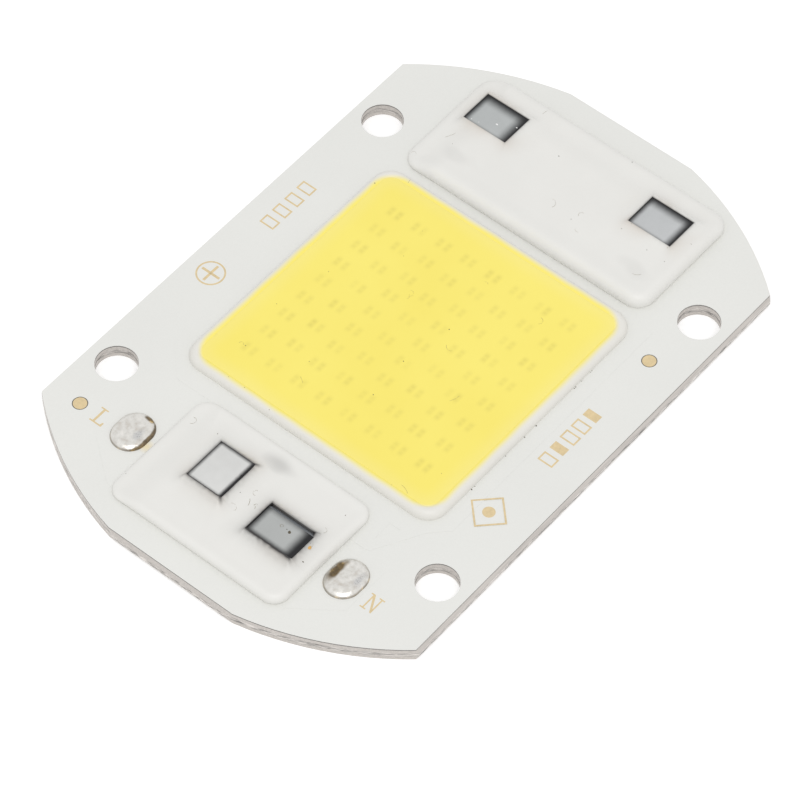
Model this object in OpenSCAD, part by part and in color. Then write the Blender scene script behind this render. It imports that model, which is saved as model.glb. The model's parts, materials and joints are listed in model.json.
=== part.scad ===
// Driverless chip-on-board LED module on an aluminium-cored circuit board.
// The origin is at the middle of the board's underside, +Z is up, and all sizes are in millimetres.

/* [Board] */
// Length of the board's top face, along X
board_l = 60; // [58.5:0.5:66]
// Width of the board's top face, along Y
board_w = 40; // [38.5:0.5:44]
// Straight stretch left at each end of the board, between the turned corners
end_flat_w = 13.2; // [10:0.2:16]
// Thickness of the aluminium core
core_t = 1.2; // [1:0.1:2]
// Depth of the V-score on each face of the straight sides
score_depth = 0.4; // [0.1:0.05:0.45]
// How far the snapped web between the scores stands out past the top face
score_flare = 0.2; // [0.05:0.05:0.3]
// Thickness of the insulating layer
dielectric_t = 0.1; // [0.06:0.01:0.2]
// Thickness of the copper
copper_t = 0.035; // [0.03:0.005:0.105]
// Thickness of the solder mask on top of the copper
mask_t = 0.03; // [0.02:0.005:0.06]
// Thickness of the solder mask beside the copper
mask_base_t = 0.04; // [0.035:0.005:0.06]

/* [Mounting holes] */
// Distance from a long side of the board to the hole centres; the holes stand on a square
hole_side_gap = 2.8; // [2.6:0.05:3.2]
// Diameter of the four mounting holes
hole_d = 3.7; // [3.2:0.1:4]

/* [Fiducials] */
// Diameter of a fiducial's copper dot
fiducial_d = 1.2; // [0.8:0.1:1.5]
// Bare ring between the dot and the solder mask
fiducial_ring = 0.08; // [0.04:0.02:0.3]
// Place along X of the fiducial near the live terminal
fiducial_live_x = -22.2; // [-23:0.1:-21.5]
// Place along Y of the fiducial near the live terminal
fiducial_live_y = 16.75; // [16.2:0.05:17.2]
// Place along X of the fiducial on the far side
fiducial_far_x = 11.3; // [8:0.1:12]
// Place along Y of the fiducial on the far side
fiducial_far_y = -16.5; // [-17.5:0.1:-16.2]

/* [LED array] */
// Pairs of chips in a long row; the rows between them hold one fewer
long_row_pairs = 9; // [6:1:9]
// Distance from the first pair to the last pair of a row
row_span = 18.84; // [17:0.1:20]
// Distance between rows
row_pitch = 2.667; // [2.4:0.01:2.75]
// Length of a flip chip, along the row
chip_l = 1.1; // [0.8:0.05:1.3]
// Width of a flip chip
chip_w = 0.52; // [0.3:0.02:0.6]
// Height of a flip chip with its bond metal
chip_t = 0.15; // [0.12:0.01:0.3]
// Distance between the two chips of a pair
chip_pitch = 0.84; // [0.7:0.02:1]
// Bare margin of the mask window round a pair of chips
window_margin = 0.15; // [0.05:0.01:0.2]

/* [Copper layout] */
// Gap between neighbouring nets
net_gap = 0.25; // [0.16:0.01:0.3]
// Gap between the islands that a flip chip bridges
island_gap = 0.2; // [0.12:0.01:0.3]
// Width of the copper field outside the dam's crest, along X
pour_margin_x = 2.3; // [2.15:0.05:2.45]
// Width of the copper field outside the dam's crest, along Y
pour_margin_y = 2.05; // [1.75:0.05:2.25]
// Chamfer on the field's corners at the terminal end
pour_chamfer_near = 2.6; // [1.5:0.1:3]
// Chamfer on the field's corners at the far end
pour_chamfer_far = 1.4; // [0.8:0.1:2.4]
// Width of the mains and string tracks
track_w = 0.9; // [0.6:0.05:1]

/* [Dam and phosphor gel] */
// Distance between opposite crests of the dam
dam_crest = 25.7; // [25:0.1:26.4]
// Width of the dam's foot
dam_w = 1.2; // [0.9:0.05:1.5]
// Height of the dam over the solder mask
dam_h = 0.82; // [0.6:0.02:1.2]
// Radius of the dam's corners, along the crest
dam_corner_r = 1.25; // [0.9:0.05:2.5]
// How far the gel's surface lies below the crest
gel_drop = 0.05; // [0.03:0.01:0.2]

/* [Driver potting] */
// Distance along X from the copper field to the crest of the near potting's edge
near_pot_gap = 0.6; // [0.4:0.05:0.8]
// Size of the near potting between the crests of its edge, along X
near_pot_l = 11.3; // [11:0.1:11.5]
// Size of the near potting between the crests of its edge, along Y
near_pot_w = 17.2; // [16.6:0.1:17.4]
// Depth of the near potting's fill over the solder mask
near_fill_h = 0.85; // [0.75:0.05:1.2]
// Height of the near potting's rounded edge
near_edge_h = 0.9; // [0.88:0.01:1.3]
// Width of the near potting's rounded edge
near_edge_w = 0.9; // [0.7:0.05:1.1]
// Distance along X from the copper field to the crest of the far potting's edge
far_pot_gap = 0.25; // [0.15:0.05:0.4]
// Size of the far potting between the crests of its edge, along X
far_pot_l = 10.9; // [10.8:0.1:11.2]
// Size of the far potting between the crests of its edge, along Y
far_pot_w = 24.5; // [24:0.1:24.9]
// Depth of the far potting's fill over the solder mask
far_fill_h = 1.2; // [0.75:0.05:1.3]
// Height of the far potting's rounded edge
far_edge_h = 1.3; // [1.24:0.02:1.5]
// Width of the far potting's rounded edge
far_edge_w = 1.4; // [1.1:0.05:1.5]
// Radius of both pottings' corners, along the crest
pot_corner_r = 0.9; // [0.8:0.05:2]

/* [Bridge rectifier] */
// Place of the rectifier along X, from the middle of the near potting
bridge_shift_x = 0.6; // [0.3:0.05:0.8]
// Place of the rectifier along Y
bridge_y = 2.7; // [2.5:0.05:2.9]
// Length of the rectifier's body, along X
bridge_l = 4.9; // [4.5:0.1:5]
// Width of the rectifier's body, along Y
bridge_w = 3.85; // [3.6:0.05:4.2]
// Distance between neighbouring leads of the rectifier
bridge_lead_pitch = 2.54; // [2.3:0.02:2.6]
// Distance over the rectifier's lead tips
bridge_span = 6.8; // [6.5:0.1:7]
// Width of a rectifier lead
bridge_lead_w = 0.7; // [0.4:0.05:0.8]

/* [Driver ICs] */
// Place of the near driver along X, from the middle of the near potting
near_ic_shift_x = -0.9; // [-1.1:0.05:-0.8]
// Place of the near driver along Y
near_ic_y = -5.05; // [-5.15:0.05:-4.95]
// Place of the two far drivers along X, from the middle of the far potting
far_ic_shift_x = 1.95; // [1.85:0.05:2.05]
// Place of the two far drivers along Y, each way
far_ic_y = 9; // [8.9:0.05:9.1]
// Width of a driver's body, along X
ic_w = 3.85; // [3.6:0.05:4]
// Length of a driver's body, along Y
ic_l = 4.9; // [4.6:0.1:5]
// Leads on each side of a driver
ic_side_leads = 4; // [2:1:4]
// Distance between neighbouring leads of a driver
ic_lead_pitch = 1.27; // [1.1:0.01:1.3]
// Distance over a driver's lead tips
ic_span = 6; // [5.8:0.1:6.2]
// Width of a driver lead
ic_lead_w = 0.42; // [0.3:0.02:0.5]
// Bevel along the edge of a driver's top on its first-lead side
ic_bevel = 0.3; // [0.1:0.05:0.5]

/* [Packages] */
// Height of the moulded bodies
body_h = 1.4; // [1.3:0.05:1.6]
// Gap between a moulded body and the board
body_standoff = 0.1; // [0.05:0.01:0.2]
// Height over the board at which the leads leave the body
lead_exit_h = 0.55; // [0.45:0.01:0.6]
// Draft of the bodies' walls, in degrees
body_draft = 7; // [3:1:12]
// Thickness of the leads
lead_t = 0.2; // [0.12:0.01:0.22]
// Length of a lead's foot
foot_l = 0.6; // [0.4:0.05:0.75]
// How far a lead runs on inside its body
lead_root = 0.4; // [0.2:0.05:0.8]
// Bare copper left each way round a lead's foot
pad_margin = 0.15; // [0.08:0.01:0.18]
// Height of a solder fillet against a lead's tip
fillet_h = 0.14; // [0.05:0.01:0.18]

/* [Resistors] */
// Length of a chip resistor, along Y
resistor_l = 3.2; // [2.8:0.1:3.3]
// Width of a chip resistor
resistor_w = 1.6; // [1.2:0.1:1.7]
// Height of a chip resistor
resistor_h = 0.55; // [0.4:0.05:0.6]
// Length of a resistor's end cap
cap_l = 0.5; // [0.3:0.05:0.6]
// Thickness of the end caps' metal
cap_t = 0.04; // [0.02:0.01:0.06]
// Distance along X from the copper field to the near resistor's pads
near_resistor_gap = 0.55; // [0.5:0.05:0.6]
// Place of the near resistor along Y
near_resistor_y = 0.3; // [0.2:0.05:0.4]
// Distance along X from the copper field to the far resistors' pads
far_resistor_gap = 1.2; // [1.1:0.05:1.3]
// Place of the two far resistors along Y, each way
far_resistor_y = 9.6; // [9.5:0.05:9.7]

/* [Terminals] */
// Place of both terminals along X, from the middle of the near potting
terminal_shift_x = -0.25; // [-0.6:0.05:0]
// Bare board between the near potting's edge and a terminal's solder
terminal_gap = 0.6; // [0.45:0.05:0.8]
// Length of a terminal's solder pad, along X
terminal_l = 4.1; // [3.6:0.1:4.3]
// Width of a terminal's solder pad, along Y
terminal_w = 3.3; // [3:0.1:3.4]
// Height of the solder on a terminal
terminal_solder_h = 0.45; // [0.2:0.05:0.9]
// Copper covered by the mask round a terminal
terminal_rim = 0.25; // [0.15:0.05:0.3]
// How far the terminals' copper spreads toward the board's end, along X
terminal_spread = 2.9; // [2:0.1:3]

/* [Hidden] */
$fn = 64;
LED_ROWS = 8;
eps = 0.01;
// Slits narrower than twice this close up when the copper is etched
etch = 0.05;

corner_r = norm([board_l, end_flat_w]) / 2;
hole_pitch = board_w - 2 * hole_side_gap;
z_core = core_t;
z_dielectric = z_core + dielectric_t;
z_copper = z_dielectric + copper_t;
z_low = z_dielectric + mask_base_t;
z_top = z_copper + mask_t;

row_band = row_pitch - net_gap;
row_end = row_span / 2 + island_gap / 2;
window_l = chip_l + 2 * window_margin;
window_w = chip_pitch + chip_w + 2 * window_margin;

pour_reach_x = dam_crest / 2 + pour_margin_x;
pour_reach_y = dam_crest / 2 + pour_margin_y;
near_pot_x = -pour_reach_x - near_pot_gap - near_pot_l / 2;
far_pot_x = pour_reach_x + far_pot_gap + far_pot_l / 2;
bridge_x = near_pot_x + bridge_shift_x;
near_ic_x = near_pot_x + near_ic_shift_x;
far_ic_x = far_pot_x + far_ic_shift_x;
terminal_x = near_pot_x + terminal_shift_x;
terminal_y = near_pot_w / 2 + bead_radius(near_edge_w, near_edge_h) + terminal_gap + terminal_w / 2;

bridge_pad_in = bridge_span / 2 - foot_l - pad_margin;
bridge_pad_out = bridge_span / 2 + 2 * pad_margin;
ic_pad_in = ic_span / 2 - foot_l - pad_margin;
ic_pad_out = ic_span / 2 + 2 * pad_margin;
ic_pin_reach = (ic_side_leads - 1) * ic_lead_pitch / 2;
resistor_pad_in = resistor_l / 2 - cap_l;
resistor_pad_out = resistor_l / 2 + 2 * pad_margin;

// Copper that runs on under the mask past a window's edge
copper_rim = 0.1;
bridge_pad_half = bridge_lead_w / 2 + pad_margin + copper_rim;
ic_pad_half = ic_lead_w / 2 + pad_margin + copper_rim;
resistor_pad_half = resistor_w / 2 + pad_margin + copper_rim;
near_resistor_x = -pour_reach_x - near_resistor_gap - resistor_pad_half;
far_resistor_x = pour_reach_x + far_resistor_gap + resistor_pad_half;
ac_live_x = bridge_x + bridge_lead_pitch / 2;
ac_neutral_x = bridge_x - bridge_lead_pitch / 2;
dc_plus_x = ac_live_x;
dc_minus_x = ac_neutral_x;
ac_y_in = bridge_y + bridge_pad_in - copper_rim;
ac_y_out = bridge_y + bridge_pad_out + copper_rim;
dc_y_in = bridge_y - bridge_pad_in + copper_rim;
dc_y_out = bridge_y - bridge_pad_out - copper_rim;
neutral_track_w = 0.6;
ground_bus_w = 2.3;

near_pot_right = near_pot_x + near_pot_l / 2;
near_pot_top = near_pot_w / 2;
far_pot_top = far_pot_w / 2;
// How far the live copper and the return conductor's corner lie in from the near potting's crest
live_inset = 1.2;
link_inset = 2.2;
// Inner edge of the terminals' copper, under the near potting
live_inner_y = near_pot_top - live_inset;
neutral_inner_y = near_pot_top + near_edge_w / 4;
// Corner at which the return conductor turns to leave the near potting
near_link_x = near_pot_right - link_inset;
near_link_y = track_w / 2 - near_pot_top;

// Radius of a bead's arc, from its width at the board and its height
function bead_radius(w, h) = (h * h + w * w / 4) / (2 * h);

// ---- places ----

function row_pairs(row) = row % 2 == 0 ? long_row_pairs : long_row_pairs - 1;
function row_y(row) = ((LED_ROWS - 1) / 2 - row) * row_pitch;
function pair_x(row, i) = row_span * (i / (row_pairs(row) - 1) - 0.5);
function turn_side(row) = row % 2 == 0 ? 1 : -1;

module at_pairs(row) {
    for (i = [0 : row_pairs(row) - 1])
        translate([pair_x(row, i), row_y(row)])
            children();
}

module at_all_pairs() {
    for (row = [0 : LED_ROWS - 1])
        at_pairs(row)
            children();
}

module at_bridge() {
    translate([bridge_x, bridge_y])
        rotate(90)
            children();
}

module at_near_ic() {
    translate([near_ic_x, near_ic_y])
        children();
}

// side is 1 for the driver toward +Y and -1 for the other
module at_far_ic(side) {
    translate([far_ic_x, side * far_ic_y])
        children();
}

module at_near_resistor() {
    translate([near_resistor_x, near_resistor_y])
        children();
}

module at_far_resistor(side) {
    translate([far_resistor_x, side * far_resistor_y])
        children();
}

module at_terminal(side) {
    translate([terminal_x, side * terminal_y])
        children();
}

module at_holes() {
    for (x = [-1, 1], y = [-1, 1])
        translate([x * hole_pitch / 2, y * hole_pitch / 2])
            children();
}

module both_ends() {
    for (a = [0, 180])
        rotate(a)
            children();
}

// ---- shared shapes ----

// An area from its two opposite corners
module area(x1, y1, x2, y2) {
    translate([min(x1, x2), min(y1, y2)])
        square([abs(x2 - x1), abs(y2 - y1)]);
}

module layer(z1, z2) {
    translate([0, 0, z1])
        linear_extrude(z2 - z1)
            children();
}

// The board's plan: a rectangle with its corners turned to one radius about the centre
module board_plan() {
    intersection() {
        square([board_l, board_w], center = true);
        circle(corner_r);
    }
}

// Section of a bead that lay where it was squeezed out: an arc, w wide at z = 0 and cut flat at its foot
module bead_section(w, h, foot = 0) {
    r = bead_radius(w, h);
    intersection() {
        translate([0, h - r])
            circle(r);
        area(-w, foot, w, h + r);
    }
}

// A closed bead on a rounded rectangle, down to the lower level of the mask; l, w and r are measured along its crest
module bead_ring(l, w, r, bead_w, bead_h) {
    foot = z_low - z_top;
    for (a = [0, 180])
        rotate(a) {
            translate([l / 2, 0, 0])
                rotate([90, 0, 0])
                    linear_extrude(w - 2 * r, center = true)
                        bead_section(bead_w, bead_h, foot);
            translate([0, w / 2, 0])
                rotate([90, 0, 90])
                    linear_extrude(l - 2 * r, center = true)
                        bead_section(bead_w, bead_h, foot);
            translate([l / 2 - r, w / 2 - r, 0])
                rotate_extrude(angle = 90)
                    translate([r, 0])
                        bead_section(bead_w, bead_h, foot);
            translate([r - l / 2, w / 2 - r, 0])
                rotate([0, 0, 90])
                    rotate_extrude(angle = 90)
                        translate([r, 0])
                            bead_section(bead_w, bead_h, foot);
        }
}

// A slab with round vertical corners, from z1 up to z2
module rounded_slab(l, w, r, z1, z2) {
    layer(z1, z2) {
        square([l - 2 * r, w], center = true);
        square([l, w - 2 * r], center = true);
    }
    for (a = [0, 180])
        rotate(a) {
            translate([l / 2 - r, w / 2 - r, z1])
                rotate_extrude(angle = 90)
                    square([r, z2 - z1]);
            translate([r - l / 2, w / 2 - r, z1])
                rotate([0, 0, 90])
                    rotate_extrude(angle = 90)
                        square([r, z2 - z1]);
        }
}

// ---- moulded packages: leads point along X, z = 0 at the top of the mask ----

module body_profile(s) {
    low = (lead_exit_h - body_standoff) * tan(body_draft);
    high = (body_standoff + body_h - lead_exit_h) * tan(body_draft);
    polygon([
        [low - s / 2, body_standoff], [s / 2 - low, body_standoff], [s / 2, lead_exit_h],
        [s / 2 - high, body_standoff + body_h], [high - s / 2, body_standoff + body_h],
        [-s / 2, lead_exit_h]
    ]);
}

module moulded_body(w, l) {
    intersection() {
        rotate([90, 0, 0])
            linear_extrude(l, center = true)
                body_profile(w);
        rotate([90, 0, 90])
            linear_extrude(w, center = true)
                body_profile(l);
    }
}

module ic_body() {
    top = body_standoff + body_h;
    edge = ic_w / 2 - (top - lead_exit_h) * tan(body_draft);
    difference() {
        moulded_body(ic_w, ic_l);
        rotate([90, 0, 0])
            linear_extrude(ic_l, center = true)
                polygon([[edge - ic_bevel, top + eps], [edge + eps, top + eps],
                         [edge + eps, top - ic_bevel]]);
    }
}

module gull_lead(body_w, span, lead_w) {
    root = body_w / 2 - lead_root;
    toe = span / 2;
    leg = toe - foot_l + lead_t;
    rotate([90, 0, 0])
        linear_extrude(lead_w, center = true)
            polygon([
                [root, lead_exit_h - lead_t / 2], [root, lead_exit_h + lead_t / 2],
                [leg, lead_exit_h + lead_t / 2], [leg, lead_t], [toe, lead_t], [toe, 0],
                [leg - lead_t, 0], [leg - lead_t, lead_exit_h - lead_t / 2]
            ]);
}

module lead_row(count, pitch) {
    both_ends()
        for (i = [0 : count - 1])
            translate([0, (i - (count - 1) / 2) * pitch])
                children();
}

module bridge_lead_set() {
    lead_row(2, bridge_lead_pitch)
        gull_lead(bridge_w, bridge_span, bridge_lead_w);
}

module ic_lead_set() {
    lead_row(ic_side_leads, ic_lead_pitch)
        gull_lead(ic_w, ic_span, ic_lead_w);
}

// Solder that fills a mask window from inner to outer and climbs the tip that stands at toe
module joint(inner, outer, toe, w, climb) {
    rotate([90, 0, 0])
        linear_extrude(w, center = true)
            polygon([[inner, z_copper - z_top], [outer, z_copper - z_top], [outer, 0],
                     [toe, climb], [toe, 0], [inner, 0]]);
}

module bridge_joint_set() {
    lead_row(2, bridge_lead_pitch)
        joint(bridge_pad_in, bridge_pad_out, bridge_span / 2, bridge_lead_w + 2 * pad_margin,
              fillet_h);
}

module ic_joint_set() {
    lead_row(ic_side_leads, ic_lead_pitch)
        joint(ic_pad_in, ic_pad_out, ic_span / 2, ic_lead_w + 2 * pad_margin, fillet_h);
}

module resistor_joint_set() {
    rotate(90)
        both_ends()
            joint(resistor_pad_in, resistor_pad_out, resistor_l / 2,
                  resistor_w + 2 * pad_margin, resistor_h / 2);
}

module resistor_core() {
    layer(cap_t, resistor_h - cap_t)
        square([resistor_w - 2 * cap_t, resistor_l - 2 * cap_t], center = true);
}

module resistor_cap_pair() {
    difference() {
        for (side = [-1, 1])
            translate([0, side * (resistor_l - cap_l) / 2])
                layer(0, resistor_h)
                    square([resistor_w, cap_l], center = true);
        resistor_core();
    }
}

// Windows of the mask over soldered pads
module lead_windows(inner, outer, w) {
    both_ends()
        area(inner, -w / 2, outer, w / 2);
}

module bridge_windows() {
    lead_row(2, bridge_lead_pitch)
        area(bridge_pad_in, -bridge_lead_w / 2 - pad_margin,
             bridge_pad_out, bridge_lead_w / 2 + pad_margin);
}

module ic_windows() {
    lead_row(ic_side_leads, ic_lead_pitch)
        area(ic_pad_in, -ic_lead_w / 2 - pad_margin, ic_pad_out, ic_lead_w / 2 + pad_margin);
}

module resistor_windows() {
    rotate(90)
        lead_windows(resistor_pad_in, resistor_pad_out, resistor_w + 2 * pad_margin);
}

module terminal_window() {
    square([terminal_l - terminal_w, terminal_w], center = true);
    for (x = [-1, 1])
        translate([x * (terminal_l - terminal_w) / 2, 0])
            circle(terminal_w / 2);
}

// ---- copper nets, in plan ----

module grown() {
    offset(delta = net_gap)
        children();
}

module etched() {
    offset(delta = -etch)
        offset(delta = etch)
            children();
}

// The chamfered field of copper round the LED array
module pour_field() {
    x = pour_reach_x;
    y = pour_reach_y;
    n = pour_chamfer_near;
    f = pour_chamfer_far;
    polygon([[n - x, -y], [x - f, -y], [x, f - y], [x, y - f],
             [x - f, y], [n - x, y], [-x, y - n], [-x, n - y]]);
}

module track(p, q, w) {
    translate(p)
        rotate(atan2(q[1] - p[1], q[0] - p[0]))
            translate([0, -w / 2])
                square([norm(q - p), w]);
    for (end = [p, q])
        translate(end)
            circle(w / 2, $fn = 8);
}

// Copper of a terminal, spreading from the pad toward the board's end as far in as inner_y
module terminal_pour(side, inner_y) {
    x = terminal_l / 2 + terminal_rim;
    y = terminal_w / 2 + terminal_rim;
    inner = inner_y - terminal_y;
    far = -x - terminal_spread;
    translate([terminal_x, 0])
        mirror([0, side < 0 ? 1 : 0])
            translate([0, terminal_y])
                polygon([[x, inner], [x, y], [-x, y], [far, -y], [far, inner]]);
}

module live_net() {
    etched() {
        terminal_pour(1, live_inner_y);
        area(ac_live_x - bridge_pad_half, ac_y_in, ac_live_x + bridge_pad_half, live_inner_y + track_w);
    }
}

module neutral_net() {
    x = terminal_x - terminal_l / 2 - terminal_rim - terminal_spread;
    etched() {
        terminal_pour(-1, neutral_inner_y);
        area(x, -neutral_inner_y, x + neutral_track_w, ac_y_in);
        area(x, ac_y_in, ac_neutral_x + bridge_pad_half, ac_y_out);
    }
}

// Every island from one pair of chips to the next, along the rows and round their ends
module islands() {
    half = row_band / 2;
    for (row = [0 : LED_ROWS - 1], i = [0 : row_pairs(row) - 2])
        area(pair_x(row, i) + island_gap / 2, row_y(row) - half,
             pair_x(row, i + 1) - island_gap / 2, row_y(row) + half);
    for (row = [0 : LED_ROWS - 2])
        area(turn_side(row) * row_end, row_y(row + 1) - half,
             turn_side(row) > 0 ? dam_crest / 2 : -pour_reach_x, row_y(row) + half);
}

module sense_near_net() {
    y = near_ic_y + ic_pin_reach;
    x = near_resistor_x + resistor_pad_half;
    etched() {
        area(near_ic_x + ic_pad_in - copper_rim, y - ic_pad_half, x, y + ic_pad_half);
        area(x - 2 * resistor_pad_half, y - ic_pad_half, x,
             near_resistor_y - resistor_pad_in + copper_rim);
    }
}

module sense_far_net(side) {
    x = far_resistor_x - resistor_pad_half;
    y = far_ic_y - ic_lead_pitch / 2 - ic_pad_half;
    mirror([0, side < 0 ? 1 : 0])
        etched() {
            area(x, y, far_ic_x - ic_pad_in + copper_rim, y + ic_lead_pitch + 2 * ic_pad_half);
            area(x, far_resistor_y - resistor_pad_out - copper_rim,
                 x + 2 * resistor_pad_half, y + ic_pad_half);
        }
}

module positive_net() {
    y = near_resistor_y + resistor_pad_in - copper_rim;
    etched()
        difference() {
            union() {
                area(dc_plus_x - bridge_pad_half, dc_y_out, dc_plus_x + bridge_pad_half, dc_y_in);
                area(dc_plus_x, dc_y_out, near_resistor_x, dc_y_in);
                area(dc_plus_x + bridge_pad_half, dc_y_out, near_resistor_x, live_inner_y);
                area(dc_plus_x + bridge_pad_half, y, -row_end, row_y(0) - (row_band - track_w) / 2);
                area(-pour_reach_x, row_y(0) - row_band / 2, -row_end, row_y(0) + row_band / 2);
            }
            grown() {
                live_net();
                islands();
                sense_near_net();
            }
        }
}

// The return conductor along the -Y edge of the field and round its far corner
module ground_backbone() {
    x = pour_reach_x - pour_chamfer_far;
    y = ground_bus_w / 2 - pour_reach_y;
    turn_y = row_y(LED_ROWS - 1) - row_pitch / 2;
    intersection() {
        pour_field();
        area(-pour_reach_x, -pour_reach_y, pour_reach_x, ground_bus_w - pour_reach_y);
    }
    track([x, y], [far_resistor_x, track_w - far_pot_top], track_w);
    track([near_link_x, near_link_y], [near_link_x, turn_y], track_w);
    track([near_link_x, turn_y], [pour_chamfer_near - pour_reach_x, y], track_w);
}

module string_end_net() {
    etched()
        difference() {
            union() {
                pour_field();
                area(near_ic_x + ic_pad_in - copper_rim, near_ic_y - ic_pin_reach - ic_pad_half,
                     -pour_reach_x, near_ic_y + ic_pin_reach);
                area(near_link_x, row_y(LED_ROWS - 1) - row_band / 2, -pour_reach_x, near_ic_y);
                area(dam_crest / 2, far_ic_y - ic_pin_reach + ic_pad_half,
                     far_ic_x - ic_pad_in + copper_rim, ic_pin_reach - far_ic_y - ic_pad_half);
            }
            grown() {
                islands();
                positive_net();
                ground_backbone();
                sense_near_net();
                sense_far_net(1);
                sense_far_net(-1);
                neutral_net();
            }
        }
}

module ground_net() {
    x = near_ic_x - ic_pad_out - copper_rim;
    etched()
        difference() {
            union() {
                ground_backbone();
                area(x, -near_pot_top, near_ic_x + ic_pad_in, near_ic_y + ic_pin_reach + ic_pad_half);
                track([near_ic_x, near_link_y], [near_link_x, near_link_y], track_w);
                area(dc_minus_x - bridge_pad_half, near_ic_y, dc_minus_x + bridge_pad_half, dc_y_in);
                area(far_resistor_x - resistor_pad_half, -far_pot_top,
                     far_ic_x + ic_pad_out + copper_rim, far_pot_top);
            }
            grown() {
                live_net();
                neutral_net();
                positive_net();
                string_end_net();
                sense_near_net();
                sense_far_net(1);
                sense_far_net(-1);
            }
        }
}

module all_copper() {
    live_net();
    neutral_net();
    positive_net();
    islands();
    string_end_net();
    ground_net();
    sense_near_net();
    sense_far_net(1);
    sense_far_net(-1);
}

// Where the mask stands higher, because it runs over copper or over the narrow gaps in it
module raised_plan() {
    offset(delta = -net_gap)
        offset(delta = net_gap + mask_base_t)
            all_copper();
}

// ---- the board ----

module base_plate() {
    t = core_t;
    d = score_depth;
    color([0.72, 0.72, 0.73])
        difference() {
            intersection() {
                rotate([90, 0, 90])
                    linear_extrude(2 * board_l, center = true)
                        scored_profile(board_w / 2, t, d);
                rotate([90, 0, 0])
                    linear_extrude(2 * board_l, center = true)
                        scored_profile(board_l / 2, t, d);
                cylinder(h = t, r = corner_r);
            }
            at_holes()
                translate([0, 0, -1])
                    cylinder(h = t + 2, d = hole_d);
        }
}

// Section across the board: flat faces that end s from the middle, and the snapped web between
module scored_profile(s, t, d) {
    polygon([[-s, 0], [s, 0], [s + score_flare, d], [s + score_flare, t - d],
             [s, t], [-s, t], [-s - score_flare, t - d], [-s - score_flare, d]]);
}

module board_layer(z1, z2) {
    difference() {
        layer(z1, z2)
            board_plan();
        at_holes()
            translate([0, 0, z1 - 1])
                cylinder(h = z2 - z1 + 2, d = hole_d);
    }
}

module dielectric_layer() {
    color([0.8, 0.78, 0.72])
        board_layer(z_core, z_dielectric);
}

module copper_layer() {
    color([0.85, 0.55, 0.35])
        layer(z_dielectric, z_copper)
            children();
}

module copper_live() {
    copper_layer()
        live_net();
}

module copper_neutral() {
    copper_layer()
        neutral_net();
}

module copper_positive() {
    copper_layer()
        positive_net();
}

module copper_islands() {
    copper_layer()
        islands();
}

module copper_string_end() {
    copper_layer()
        string_end_net();
}

module copper_ground() {
    copper_layer()
        ground_net();
}

module copper_sense() {
    copper_layer() {
        sense_near_net();
        sense_far_net(1);
        sense_far_net(-1);
    }
}

module at_fiducials() {
    translate([fiducial_live_x, fiducial_live_y])
        children();
    translate([fiducial_far_x, fiducial_far_y])
        children();
}

module fiducial_dots() {
    color([0.87, 0.78, 0.6])
        at_fiducials()
            translate([0, 0, z_dielectric])
                cylinder(h = copper_t, d = fiducial_d);
}

module mask_windows() {
    at_all_pairs()
        square([window_l, window_w], center = true);
    at_bridge()
        bridge_windows();
    at_near_ic()
        ic_windows();
    at_near_resistor()
        resistor_windows();
    for (side = [-1, 1]) {
        at_far_ic(side)
            ic_windows();
        at_far_resistor(side)
            resistor_windows();
        at_terminal(side)
            terminal_window();
    }
}

module solder_mask() {
    color([0.9, 0.9, 0.89])
        difference() {
            union() {
                board_layer(z_dielectric, z_low);
                layer(z_dielectric, z_top)
                    raised_plan();
            }
            layer(z_dielectric, z_copper)
                all_copper();
            layer(z_dielectric, z_top + 1)
                mask_windows();
            at_fiducials()
                translate([0, 0, z_dielectric])
                    cylinder(h = 1, d = fiducial_d + 2 * fiducial_ring);
        }
}

// ---- the emitting field ----

module led_row(row) {
    color([0.75, 0.72, 0.4])
        for (side = [-1, 1])
            at_pairs(row)
                translate([0, side * chip_pitch / 2])
                    layer(z_copper, z_copper + chip_t)
                        square([chip_l, chip_w], center = true);
}

module dam_bead() {
    translate([0, 0, z_top])
        bead_ring(dam_crest, dam_crest, dam_corner_r, dam_w, dam_h);
}

module led_dam() {
    color([0.93, 0.93, 0.95])
        difference() {
            dam_bead();
            layer(z_dielectric, z_top)
                raised_plan();
        }
}

module phosphor_gel() {
    color([0.98, 0.93, 0.48])
        difference() {
            union() {
                rounded_slab(dam_crest, dam_crest, dam_corner_r, z_top, z_top + dam_h - gel_drop);
                at_all_pairs() {
                    layer(z_copper, z_top)
                        square([window_l, window_w], center = true);
                    layer(z_dielectric, z_copper)
                        square([island_gap, window_w], center = true);
                }
            }
            dam_bead();
            for (row = [0 : LED_ROWS - 1])
                led_row(row);
        }
}

// ---- the driver: packages, resistors, solder and potting ----

module bridge_rectifier() {
    color([0.1, 0.1, 0.11])
        difference() {
            at_bridge()
                translate([0, 0, z_top])
                    moulded_body(bridge_w, bridge_l);
            bridge_leads();
        }
}

module bridge_leads() {
    color([0.75, 0.75, 0.74])
        at_bridge()
            translate([0, 0, z_top])
                bridge_lead_set();
}

module placed_ic() {
    color([0.1, 0.1, 0.11])
        translate([0, 0, z_top])
            difference() {
                ic_body();
                ic_lead_set();
            }
}

module placed_ic_leads() {
    color([0.75, 0.75, 0.74])
        translate([0, 0, z_top])
            ic_lead_set();
}

module driver_ic_near() {
    at_near_ic()
        placed_ic();
}

module driver_ic_far_left() {
    at_far_ic(1)
        placed_ic();
}

module driver_ic_far_right() {
    at_far_ic(-1)
        placed_ic();
}

module driver_leads_near() {
    at_near_ic()
        placed_ic_leads();
}

module driver_leads_far_left() {
    at_far_ic(1)
        placed_ic_leads();
}

module driver_leads_far_right() {
    at_far_ic(-1)
        placed_ic_leads();
}

module placed_resistor() {
    color([0.2, 0.2, 0.22])
        translate([0, 0, z_top])
            resistor_core();
}

module resistor_near() {
    at_near_resistor()
        placed_resistor();
}

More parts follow.
